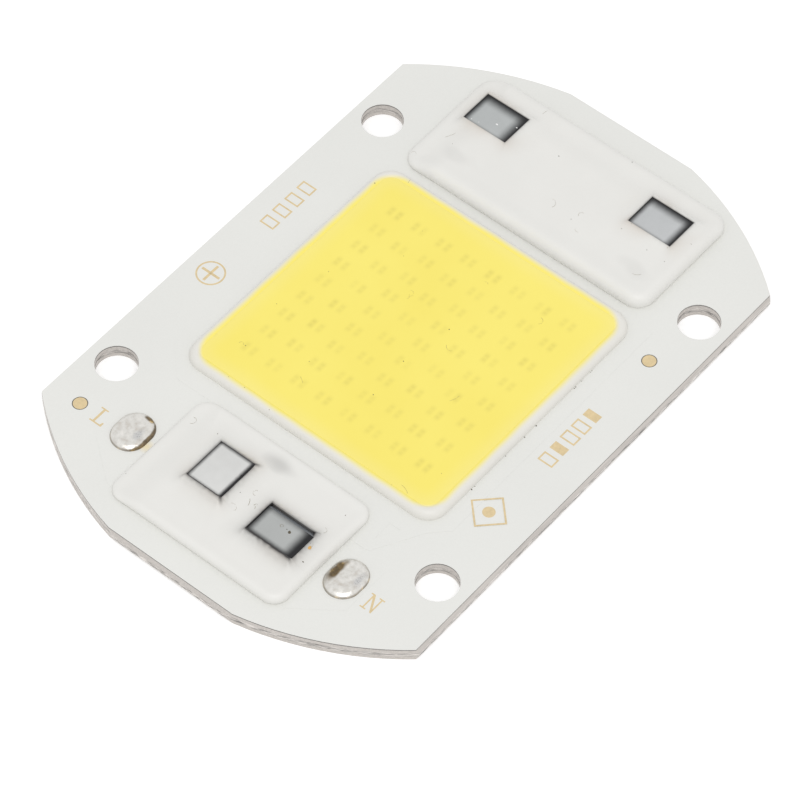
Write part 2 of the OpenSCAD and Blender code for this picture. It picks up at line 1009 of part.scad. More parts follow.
module resistor_far_left() {
    at_far_resistor(1)
        placed_resistor();
}

module resistor_far_right() {
    at_far_resistor(-1)
        placed_resistor();
}

module resistor_caps() {
    color([0.8, 0.8, 0.79])
        translate([0, 0, z_top]) {
            at_near_resistor()
                resistor_cap_pair();
            for (side = [-1, 1])
                at_far_resistor(side)
                    resistor_cap_pair();
        }
}

module near_joints() {
    translate([0, 0, z_top]) {
        at_bridge()
            bridge_joint_set();
        at_near_ic()
            ic_joint_set();
        at_near_resistor()
            resistor_joint_set();
    }
}

module far_joints() {
    translate([0, 0, z_top])
        for (side = [-1, 1]) {
            at_far_ic(side)
                ic_joint_set();
            at_far_resistor(side)
                resistor_joint_set();
        }
}

module solder_joints() {
    color([0.78, 0.78, 0.77]) {
        near_joints();
        far_joints();
    }
}

// Solid outer form of a resistor with its caps
module resistor_block() {
    layer(z_top, z_top + resistor_h)
        square([resistor_w, resistor_l], center = true);
}

module near_potting() {
    color([0.92, 0.92, 0.91])
        difference() {
            translate([near_pot_x, 0, 0]) {
                translate([0, 0, z_top])
                    bead_ring(near_pot_l, near_pot_w, pot_corner_r, near_edge_w, near_edge_h);
                rounded_slab(near_pot_l, near_pot_w, pot_corner_r, z_low, z_top + near_fill_h);
            }
            layer(z_dielectric, z_top)
                raised_plan();
            at_bridge()
                translate([0, 0, z_top])
                    moulded_body(bridge_w, bridge_l);
            bridge_leads();
            at_near_ic()
                translate([0, 0, z_top])
                    ic_body();
            driver_leads_near();
            at_near_resistor()
                resistor_block();
            near_joints();
        }
}

module far_potting() {
    color([0.92, 0.92, 0.91])
        difference() {
            translate([far_pot_x, 0, 0]) {
                translate([0, 0, z_top])
                    bead_ring(far_pot_l, far_pot_w, pot_corner_r, far_edge_w, far_edge_h);
                rounded_slab(far_pot_l, far_pot_w, pot_corner_r, z_low, z_top + far_fill_h);
            }
            layer(z_dielectric, z_top)
                raised_plan();
            for (side = [-1, 1]) {
                at_far_ic(side)
                    translate([0, 0, z_top]) {
                        ic_body();
                        ic_lead_set();
                    }
                at_far_resistor(side)
                    resistor_block();
            }
            far_joints();
        }
}

// ---- the terminals ----

// Solder that wetted the whole pad and froze as a low dome
module terminal_solder() {
    color([0.8, 0.8, 0.78]) {
        layer(z_copper, z_top)
            terminal_window();
        translate([0, 0, z_top]) {
            rotate([90, 0, 90])
                linear_extrude(terminal_l - terminal_w, center = true)
                    bead_section(terminal_w, terminal_solder_h);
            for (a = [0, 180])
                rotate(a)
                    translate([(terminal_l - terminal_w) / 2, 0, 0])
                        rotate([0, 0, -90])
                            rotate_extrude(angle = 180)
                                intersection() {
                                    bead_section(terminal_w, terminal_solder_h);
                                    area(0, 0, terminal_w, terminal_solder_h);
                                }
        }
    }
}

module solder_live() {
    at_terminal(1)
        terminal_solder();
}

module solder_neutral() {
    at_terminal(-1)
        terminal_solder();
}

base_plate();
dielectric_layer();
copper_live();
copper_neutral();
copper_positive();
copper_islands();
copper_string_end();
copper_ground();
copper_sense();
fiducial_dots();
solder_mask();
led_row(0);  // led_row_1
led_row(1);  // led_row_2
led_row(2);  // led_row_3
led_row(3);  // led_row_4
led_row(4);  // led_row_5
led_row(5);  // led_row_6
led_row(6);  // led_row_7
led_row(7);  // led_row_8
led_dam();
phosphor_gel();
near_potting();
far_potting();
bridge_rectifier();
bridge_leads();
driver_ic_near();
driver_ic_far_left();
driver_ic_far_right();
driver_leads_near();
driver_leads_far_left();
driver_leads_far_right();
resistor_near();
resistor_far_left();
resistor_far_right();
resistor_caps();
solder_joints();
solder_live();
solder_neutral();
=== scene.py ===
import json
import math
import random

import bmesh
import bpy
from bpy.props import FloatProperty, FloatVectorProperty, PointerProperty
from mathutils import Matrix, Vector, noise

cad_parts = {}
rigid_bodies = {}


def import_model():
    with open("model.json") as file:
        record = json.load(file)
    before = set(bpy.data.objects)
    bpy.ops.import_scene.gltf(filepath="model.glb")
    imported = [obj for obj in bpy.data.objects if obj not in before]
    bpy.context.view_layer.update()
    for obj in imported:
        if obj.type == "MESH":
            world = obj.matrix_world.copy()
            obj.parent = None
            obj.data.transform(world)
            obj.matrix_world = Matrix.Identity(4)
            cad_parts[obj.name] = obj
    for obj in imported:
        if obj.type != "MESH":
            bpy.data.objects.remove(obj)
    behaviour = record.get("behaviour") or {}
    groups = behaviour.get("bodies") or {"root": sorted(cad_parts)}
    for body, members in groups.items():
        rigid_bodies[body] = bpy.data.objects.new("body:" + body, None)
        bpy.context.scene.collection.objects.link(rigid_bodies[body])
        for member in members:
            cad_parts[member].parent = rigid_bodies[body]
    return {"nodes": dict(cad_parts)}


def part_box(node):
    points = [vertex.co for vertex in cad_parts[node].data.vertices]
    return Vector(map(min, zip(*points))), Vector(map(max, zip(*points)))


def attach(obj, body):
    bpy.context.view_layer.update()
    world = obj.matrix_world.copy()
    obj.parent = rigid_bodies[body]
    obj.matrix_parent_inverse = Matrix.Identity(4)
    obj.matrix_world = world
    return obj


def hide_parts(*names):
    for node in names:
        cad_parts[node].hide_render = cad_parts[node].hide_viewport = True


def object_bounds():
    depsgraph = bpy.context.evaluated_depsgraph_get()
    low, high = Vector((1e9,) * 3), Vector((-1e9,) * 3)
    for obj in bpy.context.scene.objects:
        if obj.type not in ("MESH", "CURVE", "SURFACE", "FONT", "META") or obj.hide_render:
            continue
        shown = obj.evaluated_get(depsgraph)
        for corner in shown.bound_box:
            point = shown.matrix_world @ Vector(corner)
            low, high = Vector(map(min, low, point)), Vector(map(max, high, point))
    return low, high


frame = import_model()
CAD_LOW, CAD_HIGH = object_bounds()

bl_info = {
    "name": "Chip-on-board LED module look",
    "version": (1, 0, 0),
    "blender": (4, 5, 0),
    "location": "View3D > Sidebar > COB LED",
    "description": "Dresses the packed light module with its silicone, solder, marks and finishes",
    "category": "Object",
}

MM = 0.001

# Levels and places that the pieces share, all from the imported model
BOARD_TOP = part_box("solder_mask")[1].z
PACKAGE_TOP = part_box("bridge_rectifier")[1].z
LED_ROWS = [f"led_row_{row}" for row in range(1, 9)]

# Points closer than this are one point, and a reach below the other is none
MERGE = 1e-6
NO_REACH = 1e-9
# Spacing of the lines on which a poured piece is shaped
SHEET_STEP = 0.13 * MM
# Facets that meet at less than this look round: on silicone and solder, and on a moulded body
SOFT_ANGLE = math.radians(50)
CRISP_ANGLE = math.radians(25)
# How the silicone darkens round a package: the blend at its corners, the slow haze of painted shade
# that spreads from its foot, and the width and length of the points that run out from its corners
CORNER_BLEND = 0.16 * MM
SHADE_HAZE_REACH = 0.55 * MM
SPIKE_WIDTH, SPIKE_LENGTH = 0.2 * MM, 0.5 * MM
# Thickness of a mark on the mask
MARK_THICKNESS = 0.004 * MM
DUST_SEED = 41


def srgb(code):
    """A colour written as sRGB hex, in linear light."""
    parts = [int(code[k : k + 2], 16) / 255 for k in (0, 2, 4)]
    return [p / 12.92 if p <= 0.04045 else ((p + 0.055) / 1.055) ** 2.4 for p in parts]


def rgba(colour):
    return (*colour[:3], 1.0)


def smooth(edge0, edge1, value):
    """0 before edge0, 1 past edge1 and an easy curve between them."""
    t = min(max((value - edge0) / (edge1 - edge0), 0.0), 1.0)
    return t * t * (3 - 2 * t)


def ripple(x, y, scale, layer=0.0):
    """Smooth noise over the plan, from about -1 to 1, in waves about 1 / scale metres long."""
    return noise.noise(Vector((x, y, layer)) * scale)


# ---- sizes and colours that a user may change ----


class CobCameraSettings(bpy.types.PropertyGroup):
    azimuth: FloatProperty(
        name="Azimuth",
        description="Side from which the camera looks: 0 looks along +Y and -90 along +X",
        default=math.radians(-50.66),
        unit="ROTATION",
    )
    elevation: FloatProperty(
        name="Elevation",
        description="Height of the camera above the horizon",
        default=math.radians(53.0),
        unit="ROTATION",
    )
    roll: FloatProperty(
        name="Roll",
        description="Turn of the camera about its line of sight",
        default=math.radians(0.43),
        unit="ROTATION",
    )
    distance: FloatProperty(
        name="Distance",
        description="Distance from the camera to the point that it aims at",
        default=375.3 * MM,
        unit="LENGTH",
    )
    aim_x: FloatProperty(
        name="Aim X",
        description="Where along the board, on its top, the camera aims",
        default=-5.09 * MM,
        unit="LENGTH",
    )
    aim_y: FloatProperty(
        name="Aim Y",
        description="Where across the board, on its top, the camera aims",
        default=-3.25 * MM,
        unit="LENGTH",
    )
    lens: FloatProperty(
        name="Lens",
        description="Focal length in millimetres on a 36 mm wide frame",
        default=205.16,
    )


class CobLightSettings(bpy.types.PropertyGroup):
    ambient: FloatProperty(
        name="Ambient",
        description="Strength of the even light from all round",
        default=0.745,
        min=0.0,
    )
    key_power: FloatProperty(
        name="Key power",
        description="Power of the large soft lamp over the board",
        default=1.2,
        unit="POWER",
    )
    floor_glow: FloatProperty(
        name="Floor glow",
        description="Light that the floor adds of its own for the camera, so that it reads white",
        default=0.35,
        min=0.0,
    )


class CobBoardSettings(bpy.types.PropertyGroup):
    mask_colour: FloatVectorProperty(
        name="Solder mask",
        description="Colour of the white solder mask",
        subtype="COLOR",
        default=srgb("E7E7E3"),
        min=0.0,
        max=1.0,
    )
    metal_colour: FloatVectorProperty(
        name="Aluminium",
        description="Colour of the board's aluminium core",
        subtype="COLOR",
        default=srgb("C4BFBA"),
        min=0.0,
        max=1.0,
    )
    web_colour: FloatVectorProperty(
        name="Broken web",
        description="Colour of the torn metal left where the board was snapped from its panel",
        subtype="COLOR",
        default=srgb("C9C5C1"),
        min=0.0,
        max=1.0,
    )
    legend_colour: FloatVectorProperty(
        name="Legend",
        description="Colour of the marks left open in the solder mask",
        subtype="COLOR",
        default=srgb("DDC79B"),
        min=0.0,
        max=1.0,
    )
    letter_height: FloatProperty(
        name="Letter height",
        description="Height of the terminal letters",
        default=1.65 * MM,
        unit="LENGTH",
    )
    letter_gap: FloatProperty(
        name="Letter gap",
        description="Distance from a terminal's solder to its letter",
        default=0.78 * MM,
        unit="LENGTH",
    )
    letter_inset: FloatProperty(
        name="Letter inset",
        description="How far the foot of a letter lies toward +X from the -X end of its solder",
        default=0.75 * MM,
        unit="LENGTH",
    )
    stroke: FloatProperty(
        name="Stroke",
        description="Width of the thin strokes of the marks",
        default=0.15 * MM,
        unit="LENGTH",
    )
    score_depth: FloatProperty(
        name="Score depth",
        description="Depth of the V-shaped score on each face along the snapped edges",
        default=0.4 * MM,
        unit="LENGTH",
    )


class CobGelSettings(bpy.types.PropertyGroup):
    gel_colour: FloatVectorProperty(
        name="Phosphor gel",
        description="Colour of the phosphor-filled silicone",
        subtype="COLOR",
        default=srgb("FBEB74"),
        min=0.0,
        max=1.0,
    )
    thin_colour: FloatVectorProperty(
        name="Thin gel",
        description="Colour of the gel where it thins out over the dam",
        subtype="COLOR",
        default=srgb("EFEDE6"),
        min=0.0,
        max=1.0,
    )
    chip_shade: FloatVectorProperty(
        name="Chip shade",
        description="Colour of the gel over the middle of a chip",
        subtype="COLOR",
        default=srgb("CDBE5C"),
        min=0.0,
        max=1.0,
    )
    dam_colour: FloatVectorProperty(
        name="Dam",
        description="Colour of the dam's white silicone",
        subtype="COLOR",
        default=srgb("E7E5DF"),
        min=0.0,
        max=1.0,
    )
    bead_width: FloatProperty(
        name="Dam width",
        description="Width of the dam's bead at its foot",
        default=1.2 * MM,
        unit="LENGTH",
    )
    bead_corner: FloatProperty(
        name="Dam corner",
        description="Radius of the dam's corners, along its crest",
        default=1.25 * MM,
        unit="LENGTH",
    )
    field_corner: FloatProperty(
        name="Yellow corner",
        description="Radius of the corners of the yellow, along the dam's crest",
        default=2.2 * MM,
        unit="LENGTH",
    )
    glow_inside: FloatProperty(
        name="Glow inside",
        description="Distance inside the dam's crest at which the dam is as yellow as the gel",
        default=0.3 * MM,
        unit="LENGTH",
    )
    glow_outside: FloatProperty(
        name="Glow outside",
        description="Distance outside the dam's crest at which the gel's yellow ends",
        default=0.4 * MM,
        unit="LENGTH",
    )


class CobPottingSettings(bpy.types.PropertyGroup):
    run_out_x: FloatProperty(
        name="Run-out toward +X",
        description="Share of its height that the fill has lost at its +X edge",
        default=0.25,
        min=0.0,
        max=0.9,
    )
    run_out_y: FloatProperty(
        name="Run-out toward +Y",
        description="Share of its height that the fill has lost at its +Y edge",
        default=0.55,
        min=0.0,
        max=0.9,
    )
    run_out_width: FloatProperty(
        name="Run-out width",
        description="Width over which the fill thins out",
        default=3.0 * MM,
        unit="LENGTH",
    )
    silicone_colour: FloatVectorProperty(
        name="Potting",
        description="Colour of the white silicone over the driver",
        subtype="COLOR",
        default=srgb("E9E8E4"),
        min=0.0,
        max=1.0,
    )
    # also the colour of the shade painted round the packages' feet
    shadow_colour: FloatVectorProperty(
        name="Thin potting",
        description="Colour of the silicone where a dark package shows through it",
        subtype="COLOR",
        default=srgb("3A3838"),
        min=0.0,
        max=1.0,
    )
    stain_colour: FloatVectorProperty(
        name="Stain",
        description="Colour of the flux stain in the silicone round the packages",
        subtype="COLOR",
        default=srgb("B49C84"),
        min=0.0,
        max=1.0,
    )
    near_edge_width: FloatProperty(
        name="Near edge width",
        description="Width of the near potting's rounded edge",
        default=0.9 * MM,
        unit="LENGTH",
    )
    far_edge_width: FloatProperty(
        name="Far edge width",
        description="Width of the far potting's rounded edge",
        default=1.4 * MM,
        unit="LENGTH",
    )
    corner: FloatProperty(
        name="Corner",
        description="Radius of both pottings' corners, along the crest",
        default=0.9 * MM,
        unit="LENGTH",
    )
    near_dip: FloatProperty(
        name="Near dip",
        description="How far the near potting's middle lies below its edge",
        default=0.05 * MM,
        unit="LENGTH",
    )
    far_dip: FloatProperty(
        name="Far dip",
        description="How far the far potting's middle lies below its edge",
        default=0.1 * MM,
        unit="LENGTH",
    )


class CobDriverSettings(bpy.types.PropertyGroup):
    compound_colour: FloatVectorProperty(
        name="Mould compound",
        description="Colour of the packages' black epoxy",
        subtype="COLOR",
        default=srgb("1D1D1F"),
        min=0.0,
        max=1.0,
    )
    sink: FloatProperty(
        name="Sink",
        description="How far a package's top lies below the silicone drawn over its edges",
        default=0.03 * MM,
        unit="LENGTH",
    )
    draft_in: FloatProperty(
        name="Draft",
        description="How far the packages' walls draw in from their widest line to the top",
        default=0.115 * MM,
        unit="LENGTH",
    )
    bevel_width: FloatProperty(
        name="Bevel",
        description="Width of the bevel along a driver's first-lead side",
        default=0.3 * MM,
        unit="LENGTH",
    )
    bridge_film: FloatVectorProperty(
        name="Film on the rectifier",
        description="Colour of the silicone film left on the rectifier's top",
        subtype="COLOR",
        default=srgb("D7D7D5"),
        min=0.0,
        max=1.0,
    )
    near_film: FloatVectorProperty(
        name="Film on the near driver",
        description="Colour of the silicone film left on the near driver's top",
        subtype="COLOR",
        default=srgb("B0B2B1"),
        min=0.0,
        max=1.0,
    )
    far_left_film: FloatVectorProperty(
        name="Film on the left far driver",
        description="Colour of the film left on the far driver toward the live terminal",
        subtype="COLOR",
        default=srgb("B5B8B8"),
        min=0.0,
        max=1.0,
    )
    far_right_film: FloatVectorProperty(
        name="Film on the right far driver",
        description="Colour of the film left on the far driver toward the neutral terminal",
        subtype="COLOR",
        default=srgb("C0C2C3"),
        min=0.0,
        max=1.0,
    )
    solder_colour: FloatVectorProperty(
        name="Solder",
        description="Colour of the terminals' solder",
        subtype="COLOR",
        default=srgb("D9D7D2"),
        min=0.0,
        max=1.0,
    )
    flux_colour: FloatVectorProperty(
        name="Burnt flux",
        description="Colour of the burnt flux at the edge of the solder",
        subtype="COLOR",
        default=srgb("54452B"),
        min=0.0,
        max=1.0,
    )


SETTINGS = {
    "cob_camera": CobCameraSettings,
    "cob_light": CobLightSettings,
    "cob_board": CobBoardSettings,
    "cob_gel": CobGelSettings,
    "cob_potting": CobPottingSettings,
    "cob_driver": CobDriverSettings,
}


# ---- materials ----


def add(tree, kind, inputs=(), **settings):
    """Adds a node with its settings; inputs gives each socket a value or another node's output."""
    made = tree.nodes.new(kind)
    for key, value in settings.items():
        setattr(made, key, value)
    for key, value in dict(inputs).items():
        if isinstance(value, bpy.types.Node):
            value = value.outputs[0]
        if isinstance(value, bpy.types.NodeSocket):
            tree.links.new(value, made.inputs[key])
        else:
            made.inputs[key].default_value = value
    return made


def new_material(name):
    """A material with a bare Principled shader; returns it, its tree and its shader."""
    material = bpy.data.materials.new(name)
    material.use_nodes = True
    tree = material.node_tree
    tree.nodes.clear()
    shader = add(tree, "ShaderNodeBsdfPrincipled")
    add(tree, "ShaderNodeOutputMaterial", {"Surface": shader.outputs[0]})
    return material, tree, shader


def ramp_stops(node, *stops):
    """Sets a colour ramp's stops as (place, value) pairs, where a value is a grey or a colour."""
    elements = node.color_ramp.elements
    while len(elements) < len(stops):
        elements.new(1.0)
    for element, (place, value) in zip(elements, stops):
        element.position = place
        element.color = rgba(value) if hasattr(value, "__len__") else (value, value, value, 1.0)
    return node


def dress(node, material):
    """Gives a CAD node its material."""
    mesh = frame["nodes"][node].data
    if mesh.materials:
        for k in range(len(mesh.materials)):
            mesh.materials[k] = material
    else:
        mesh.materials.append(material)


def white_mask_material(look):
    """White photo-imaged epoxy solder mask, curtain coated and cured over etched copper.

    It is bright and even, with a satin skin that waves a little at a millimetre's scale and a trace
    of warm dirt in large soft patches.
    """
    material, tree, shader = new_material("white_photoimaged_solder_mask")
    place = add(tree, "ShaderNodeTexCoord").outputs["Object"]
    # patches of handling, 12 mm across
    patches = add(tree, "ShaderNodeTexNoise", {"Vector": place, "Scale": 80.0, "Detail": 2.0})
    # grain of the filler, 0.15 mm
    grain = add(tree, "ShaderNodeTexNoise", {"Vector": place, "Scale": 6500.0, "Detail": 2.0})
    tone = add(
        tree,
        "ShaderNodeMapRange",
        {"Value": patches, "From Min": 0.3, "From Max": 0.7, "To Min": 0.985, "To Max": 1.01},
    )
    fine = add(
        tree,
        "ShaderNodeMapRange",
        {"Value": grain, "From Min": 0.3, "From Max": 0.7, "To Min": 0.99, "To Max": 1.008},
    )
    both = add(tree, "ShaderNodeMath", {0: tone, 1: fine}, operation="MULTIPLY")
    colour = add(
        tree,
        "ShaderNodeVectorMath",
        {0: look.mask_colour[:], "Scale": both},
        operation="SCALE",
    )
    # dried rosin flux that ran from the live terminal's solder
    low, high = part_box("solder_live")
    puddle = ((low.x + high.x) / 2 - 0.38 * MM, low.y - 0.14 * MM, BOARD_TOP)
    away = add(tree, "ShaderNodeVectorMath", {0: place, 1: puddle}, operation="DISTANCE")
    stain = add(
        tree,
        "ShaderNodeMapRange",
        {
            "Value": away.outputs["Value"],
            "From Min": 0.1 * MM,
            "From Max": 0.75 * MM,
            "To Min": 0.6,
            "To Max": 0.0,
        },
    )
    stained = add(
        tree,
        "ShaderNodeMix",
        {0: stain, 6: colour, 7: rgba(srgb("F0D998"))},
        data_type="RGBA",
    )
    tree.links.new(stained.outputs[2], shader.inputs["Base Color"])
    # orange peel, waves about 0.8 mm long
    peel = add(tree, "ShaderNodeTexNoise", {"Vector": place, "Scale": 1200.0, "Detail": 1.0})
    bump = add(
        tree, "ShaderNodeBump", {"Strength": 0.12, "Distance": 0.00002, "Height": peel}
    )
    tree.links.new(bump.outputs[0], shader.inputs["Normal"])
    rough = add(
        tree,
        "ShaderNodeMapRange",
        {"Value": patches, "From Min": 0.3, "From Max": 0.7, "To Min": 0.34, "To Max": 0.44},
    )
    tree.links.new(rough.outputs[0], shader.inputs["Roughness"])
    return material


def aluminium_core_material(look):
    """Rolled aluminium sheet, milled round its ends and holes, V-scored and snapped on its sides.

    Milled walls are an even satin grey with fine upright tool lines. The snapped web between the
    two scores is torn, lighter and browner, and as rough as a break is. The underside keeps the
    rolling lines of the sheet.
    """
    material, tree, shader = new_material("rolled_aluminium_core")
    place = add(tree, "ShaderNodeTexCoord").outputs["Object"]
    split = add(tree, "ShaderNodeSeparateXYZ", {0: place})
    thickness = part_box("base_plate")[1].z
    # the torn web lies between the scores
    middle = add(
        tree, "ShaderNodeMath", {0: split.outputs["Z"], 1: thickness / 2}, operation="SUBTRACT"
    )
    depth = add(tree, "ShaderNodeMath", {0: middle}, operation="ABSOLUTE")
    wander = add(tree, "ShaderNodeTexNoise", {"Vector": place, "Scale": 900.0, "Detail": 3.0})
    edge = add(
        tree,
        "ShaderNodeMath",
        {0: wander, 1: 0.00012, 2: depth},
        operation="MULTIPLY_ADD",
    )
    web = add(
        tree,
        "ShaderNodeMapRange",
        {
            "Value": edge,
            "From Min": thickness / 2 - look.score_depth + 0.00002,
            "From Max": thickness / 2 - look.score_depth + 0.0001,
            "To Min": 1.0,
            "To Max": 0.0,
        },
    )
    # tears of the break, 0.1 to 0.4 mm, longer along the edge
    long_tears = add(tree, "ShaderNodeMapping", {"Vector": place, "Scale": (0.22, 0.22, 2.2)})
    tears = add(
        tree,
        "ShaderNodeTexNoise",
        {"Vector": long_tears, "Scale": 4200.0, "Detail": 4.0, "Roughness": 0.65},
    )
    tear_tone = ramp_stops(
        add(tree, "ShaderNodeValToRGB", {0: tears}),
        (0.38, [c * 0.4 for c in look.web_colour]),
        (0.5, look.web_colour[:]),
        (0.62, [min(1.0, c * 1.35) for c in look.web_colour]),
    )
    # rolling and milling lines, about 0.06 mm
    lines = add(tree, "ShaderNodeMapping", {"Vector": place, "Scale": (0.04, 1.0, 0.6)})
    rolled = add(tree, "ShaderNodeTexNoise", {"Vector": lines, "Scale": 9000.0, "Detail": 3.0})
    rolled_tone = ramp_stops(
        add(tree, "ShaderNodeValToRGB", {0: rolled}),
        (0.25, [c * 0.86 for c in look.metal_colour]),
        (0.75, [min(1.0, c * 1.08) for c in look.metal_colour]),
    )
    colour = add(
        tree,
        "ShaderNodeMix",
        {0: web, 6: rolled_tone.outputs[0], 7: tear_tone.outputs[0]},
        data_type="RGBA",
    )
    tree.links.new(colour.outputs[2], shader.inputs["Base Color"])
    shader.inputs["Metallic"].default_value = 1.0
    rough = add(
        tree,
        "ShaderNodeMapRange",
        {"Value": web, "From Min": 0.0, "From Max": 1.0, "To Min": 0.42, "To Max": 0.7},
    )
    tree.links.new(rough.outputs[0], shader.inputs["Roughness"])
    bump_rolled = add(
        tree, "ShaderNodeBump", {"Strength": 0.25, "Distance": 0.00001, "Height": rolled}
    )
    torn_height = add(tree, "ShaderNodeMath", {0: tears, 1: web}, operation="MULTIPLY")
    bump = add(
        tree,
        "ShaderNodeBump",
        {
            "Strength": 0.9,
            "Distance": 0.00012,
            "Height": torn_height,
            "Normal": bump_rolled.outputs[0],
        },
    )
    tree.links.new(bump.outputs[0], shader.inputs["Normal"])
    return material


def plain_material(name, colour, metallic, roughness, grain_mm, spread, bump_mm):
    """A finish with one colour, a grain of that size and a bump of that height."""
    material, tree, shader = new_material(name)
    place = add(tree, "ShaderNodeTexCoord").outputs["Object"]
    grain = add(
        tree, "ShaderNodeTexNoise", {"Vector": place, "Scale": 1.0 / (grain_mm * MM), "Detail": 3.0}
    )
    tone = ramp_stops(
        add(tree, "ShaderNodeValToRGB", {0: grain}),
        (0.3, [c * (1 - spread) for c in colour]),
        (0.7, [min(1.0, c * (1 + spread)) for c in colour]),
    )
    tree.links.new(tone.outputs[0], shader.inputs["Base Color"])
    shader.inputs["Metallic"].default_value = metallic
    shader.inputs["Roughness"].default_value = roughness
    bump = add(
        tree, "ShaderNodeBump", {"Strength": 0.4, "Distance": bump_mm * MM, "Height": grain}
    )
    tree.links.new(bump.outputs[0], shader.inputs["Normal"])
    return material


def silicone_material(name, colour, stains, roughness):
    """Condensation-cure white silicone, dispensed and left to level.

    Its skin is smooth with a low gloss and slow waves where it was dispensed. stains are
    (attribute, colour) pairs: each attribute says how far that colour shows through where the
    silicone is thin, and on the pottings also how much shade is painted round a package.
    """
    material, tree, shader = new_material(name)
    place = add(tree, "ShaderNodeTexCoord").outputs["Object"]
    # clouds of thicker and thinner silicone, 4 mm across
    clouds = add(tree, "ShaderNodeTexNoise", {"Vector": place, "Scale": 260.0, "Detail": 3.0})
    tone = ramp_stops(
        add(tree, "ShaderNodeValToRGB", {0: clouds}),
        (0.3, [c * 0.985 for c in colour]),
        (0.7, [min(1.0, c * 1.01) for c in colour]),
    ).outputs[0]
    for label, stain in stains:
        amount = add(tree, "ShaderNodeAttribute", attribute_name=label)
        tone = add(
            tree,
            "ShaderNodeMix",
            {0: amount.outputs["Fac"], 6: tone, 7: rgba(stain)},
            data_type="RGBA",
        ).outputs[2]
    tree.links.new(tone, shader.inputs["Base Color"])
    shader.inputs["Roughness"].default_value = roughness
    shader.inputs["IOR"].default_value = 1.41
    waves = add(tree, "ShaderNodeTexNoise", {"Vector": place, "Scale": 500.0, "Detail": 2.0})
    bump = add(
        tree, "ShaderNodeBump", {"Strength": 0.15, "Distance": 0.00005, "Height": waves}
    )
    tree.links.new(bump.outputs[0], shader.inputs["Normal"])
    return material


def phosphor_material(look):
    """Phosphor-filled silicone, poured inside the dam and cured flat.

    The filler makes it an even, opaque lemon yellow with a satin skin. The attribute chips darkens
    it over the chips' pads, and thin pales it where it runs out over the dam and, faintly, over
    the last 2 mm inside the dam as a painted highlight on its meniscus.
    """
    material, tree, shader = new_material("phosphor_filled_silicone")
    place = add(tree, "ShaderNodeTexCoord").outputs["Object"]
    chips = add(tree, "ShaderNodeAttribute", attribute_name="chips")
    thin = add(tree, "ShaderNodeAttribute", attribute_name="thin")
    clouds = add(tree, "ShaderNodeTexNoise", {"Vector": place, "Scale": 110.0, "Detail": 3.0})
    colour = look.gel_colour[:]
    tone = ramp_stops(
        add(tree, "ShaderNodeValToRGB", {0: clouds}),
        (0.3, (colour[0] * 0.985, colour[1] * 0.975, colour[2] * 0.93)),
        (0.7, (min(1.0, colour[0] * 1.01), min(1.0, colour[1] * 1.015), colour[2] * 1.06)),
    )
    dark = add(
        tree,
        "ShaderNodeMix",
        {0: chips.outputs["Fac"], 6: tone.outputs[0], 7: rgba(look.chip_shade)},
        data_type="RGBA",
    )
    pale = add(
        tree,
        "ShaderNodeMix",
        {0: thin.outputs["Fac"], 6: dark.outputs[2], 7: rgba(look.thin_colour)},
        data_type="RGBA",
    )
    tree.links.new(pale.outputs[2], shader.inputs["Base Color"])
    shader.inputs["Roughness"].default_value = 0.42
    shader.inputs["IOR"].default_value = 1.41
    grain = add(tree, "ShaderNodeTexNoise", {"Vector": place, "Scale": 5000.0, "Detail": 2.0})
    bump = add(
        tree, "ShaderNodeBump", {"Strength": 0.1, "Distance": 0.00001, "Height": grain}
    )
    tree.links.new(bump.outputs[0], shader.inputs["Normal"])
    return material


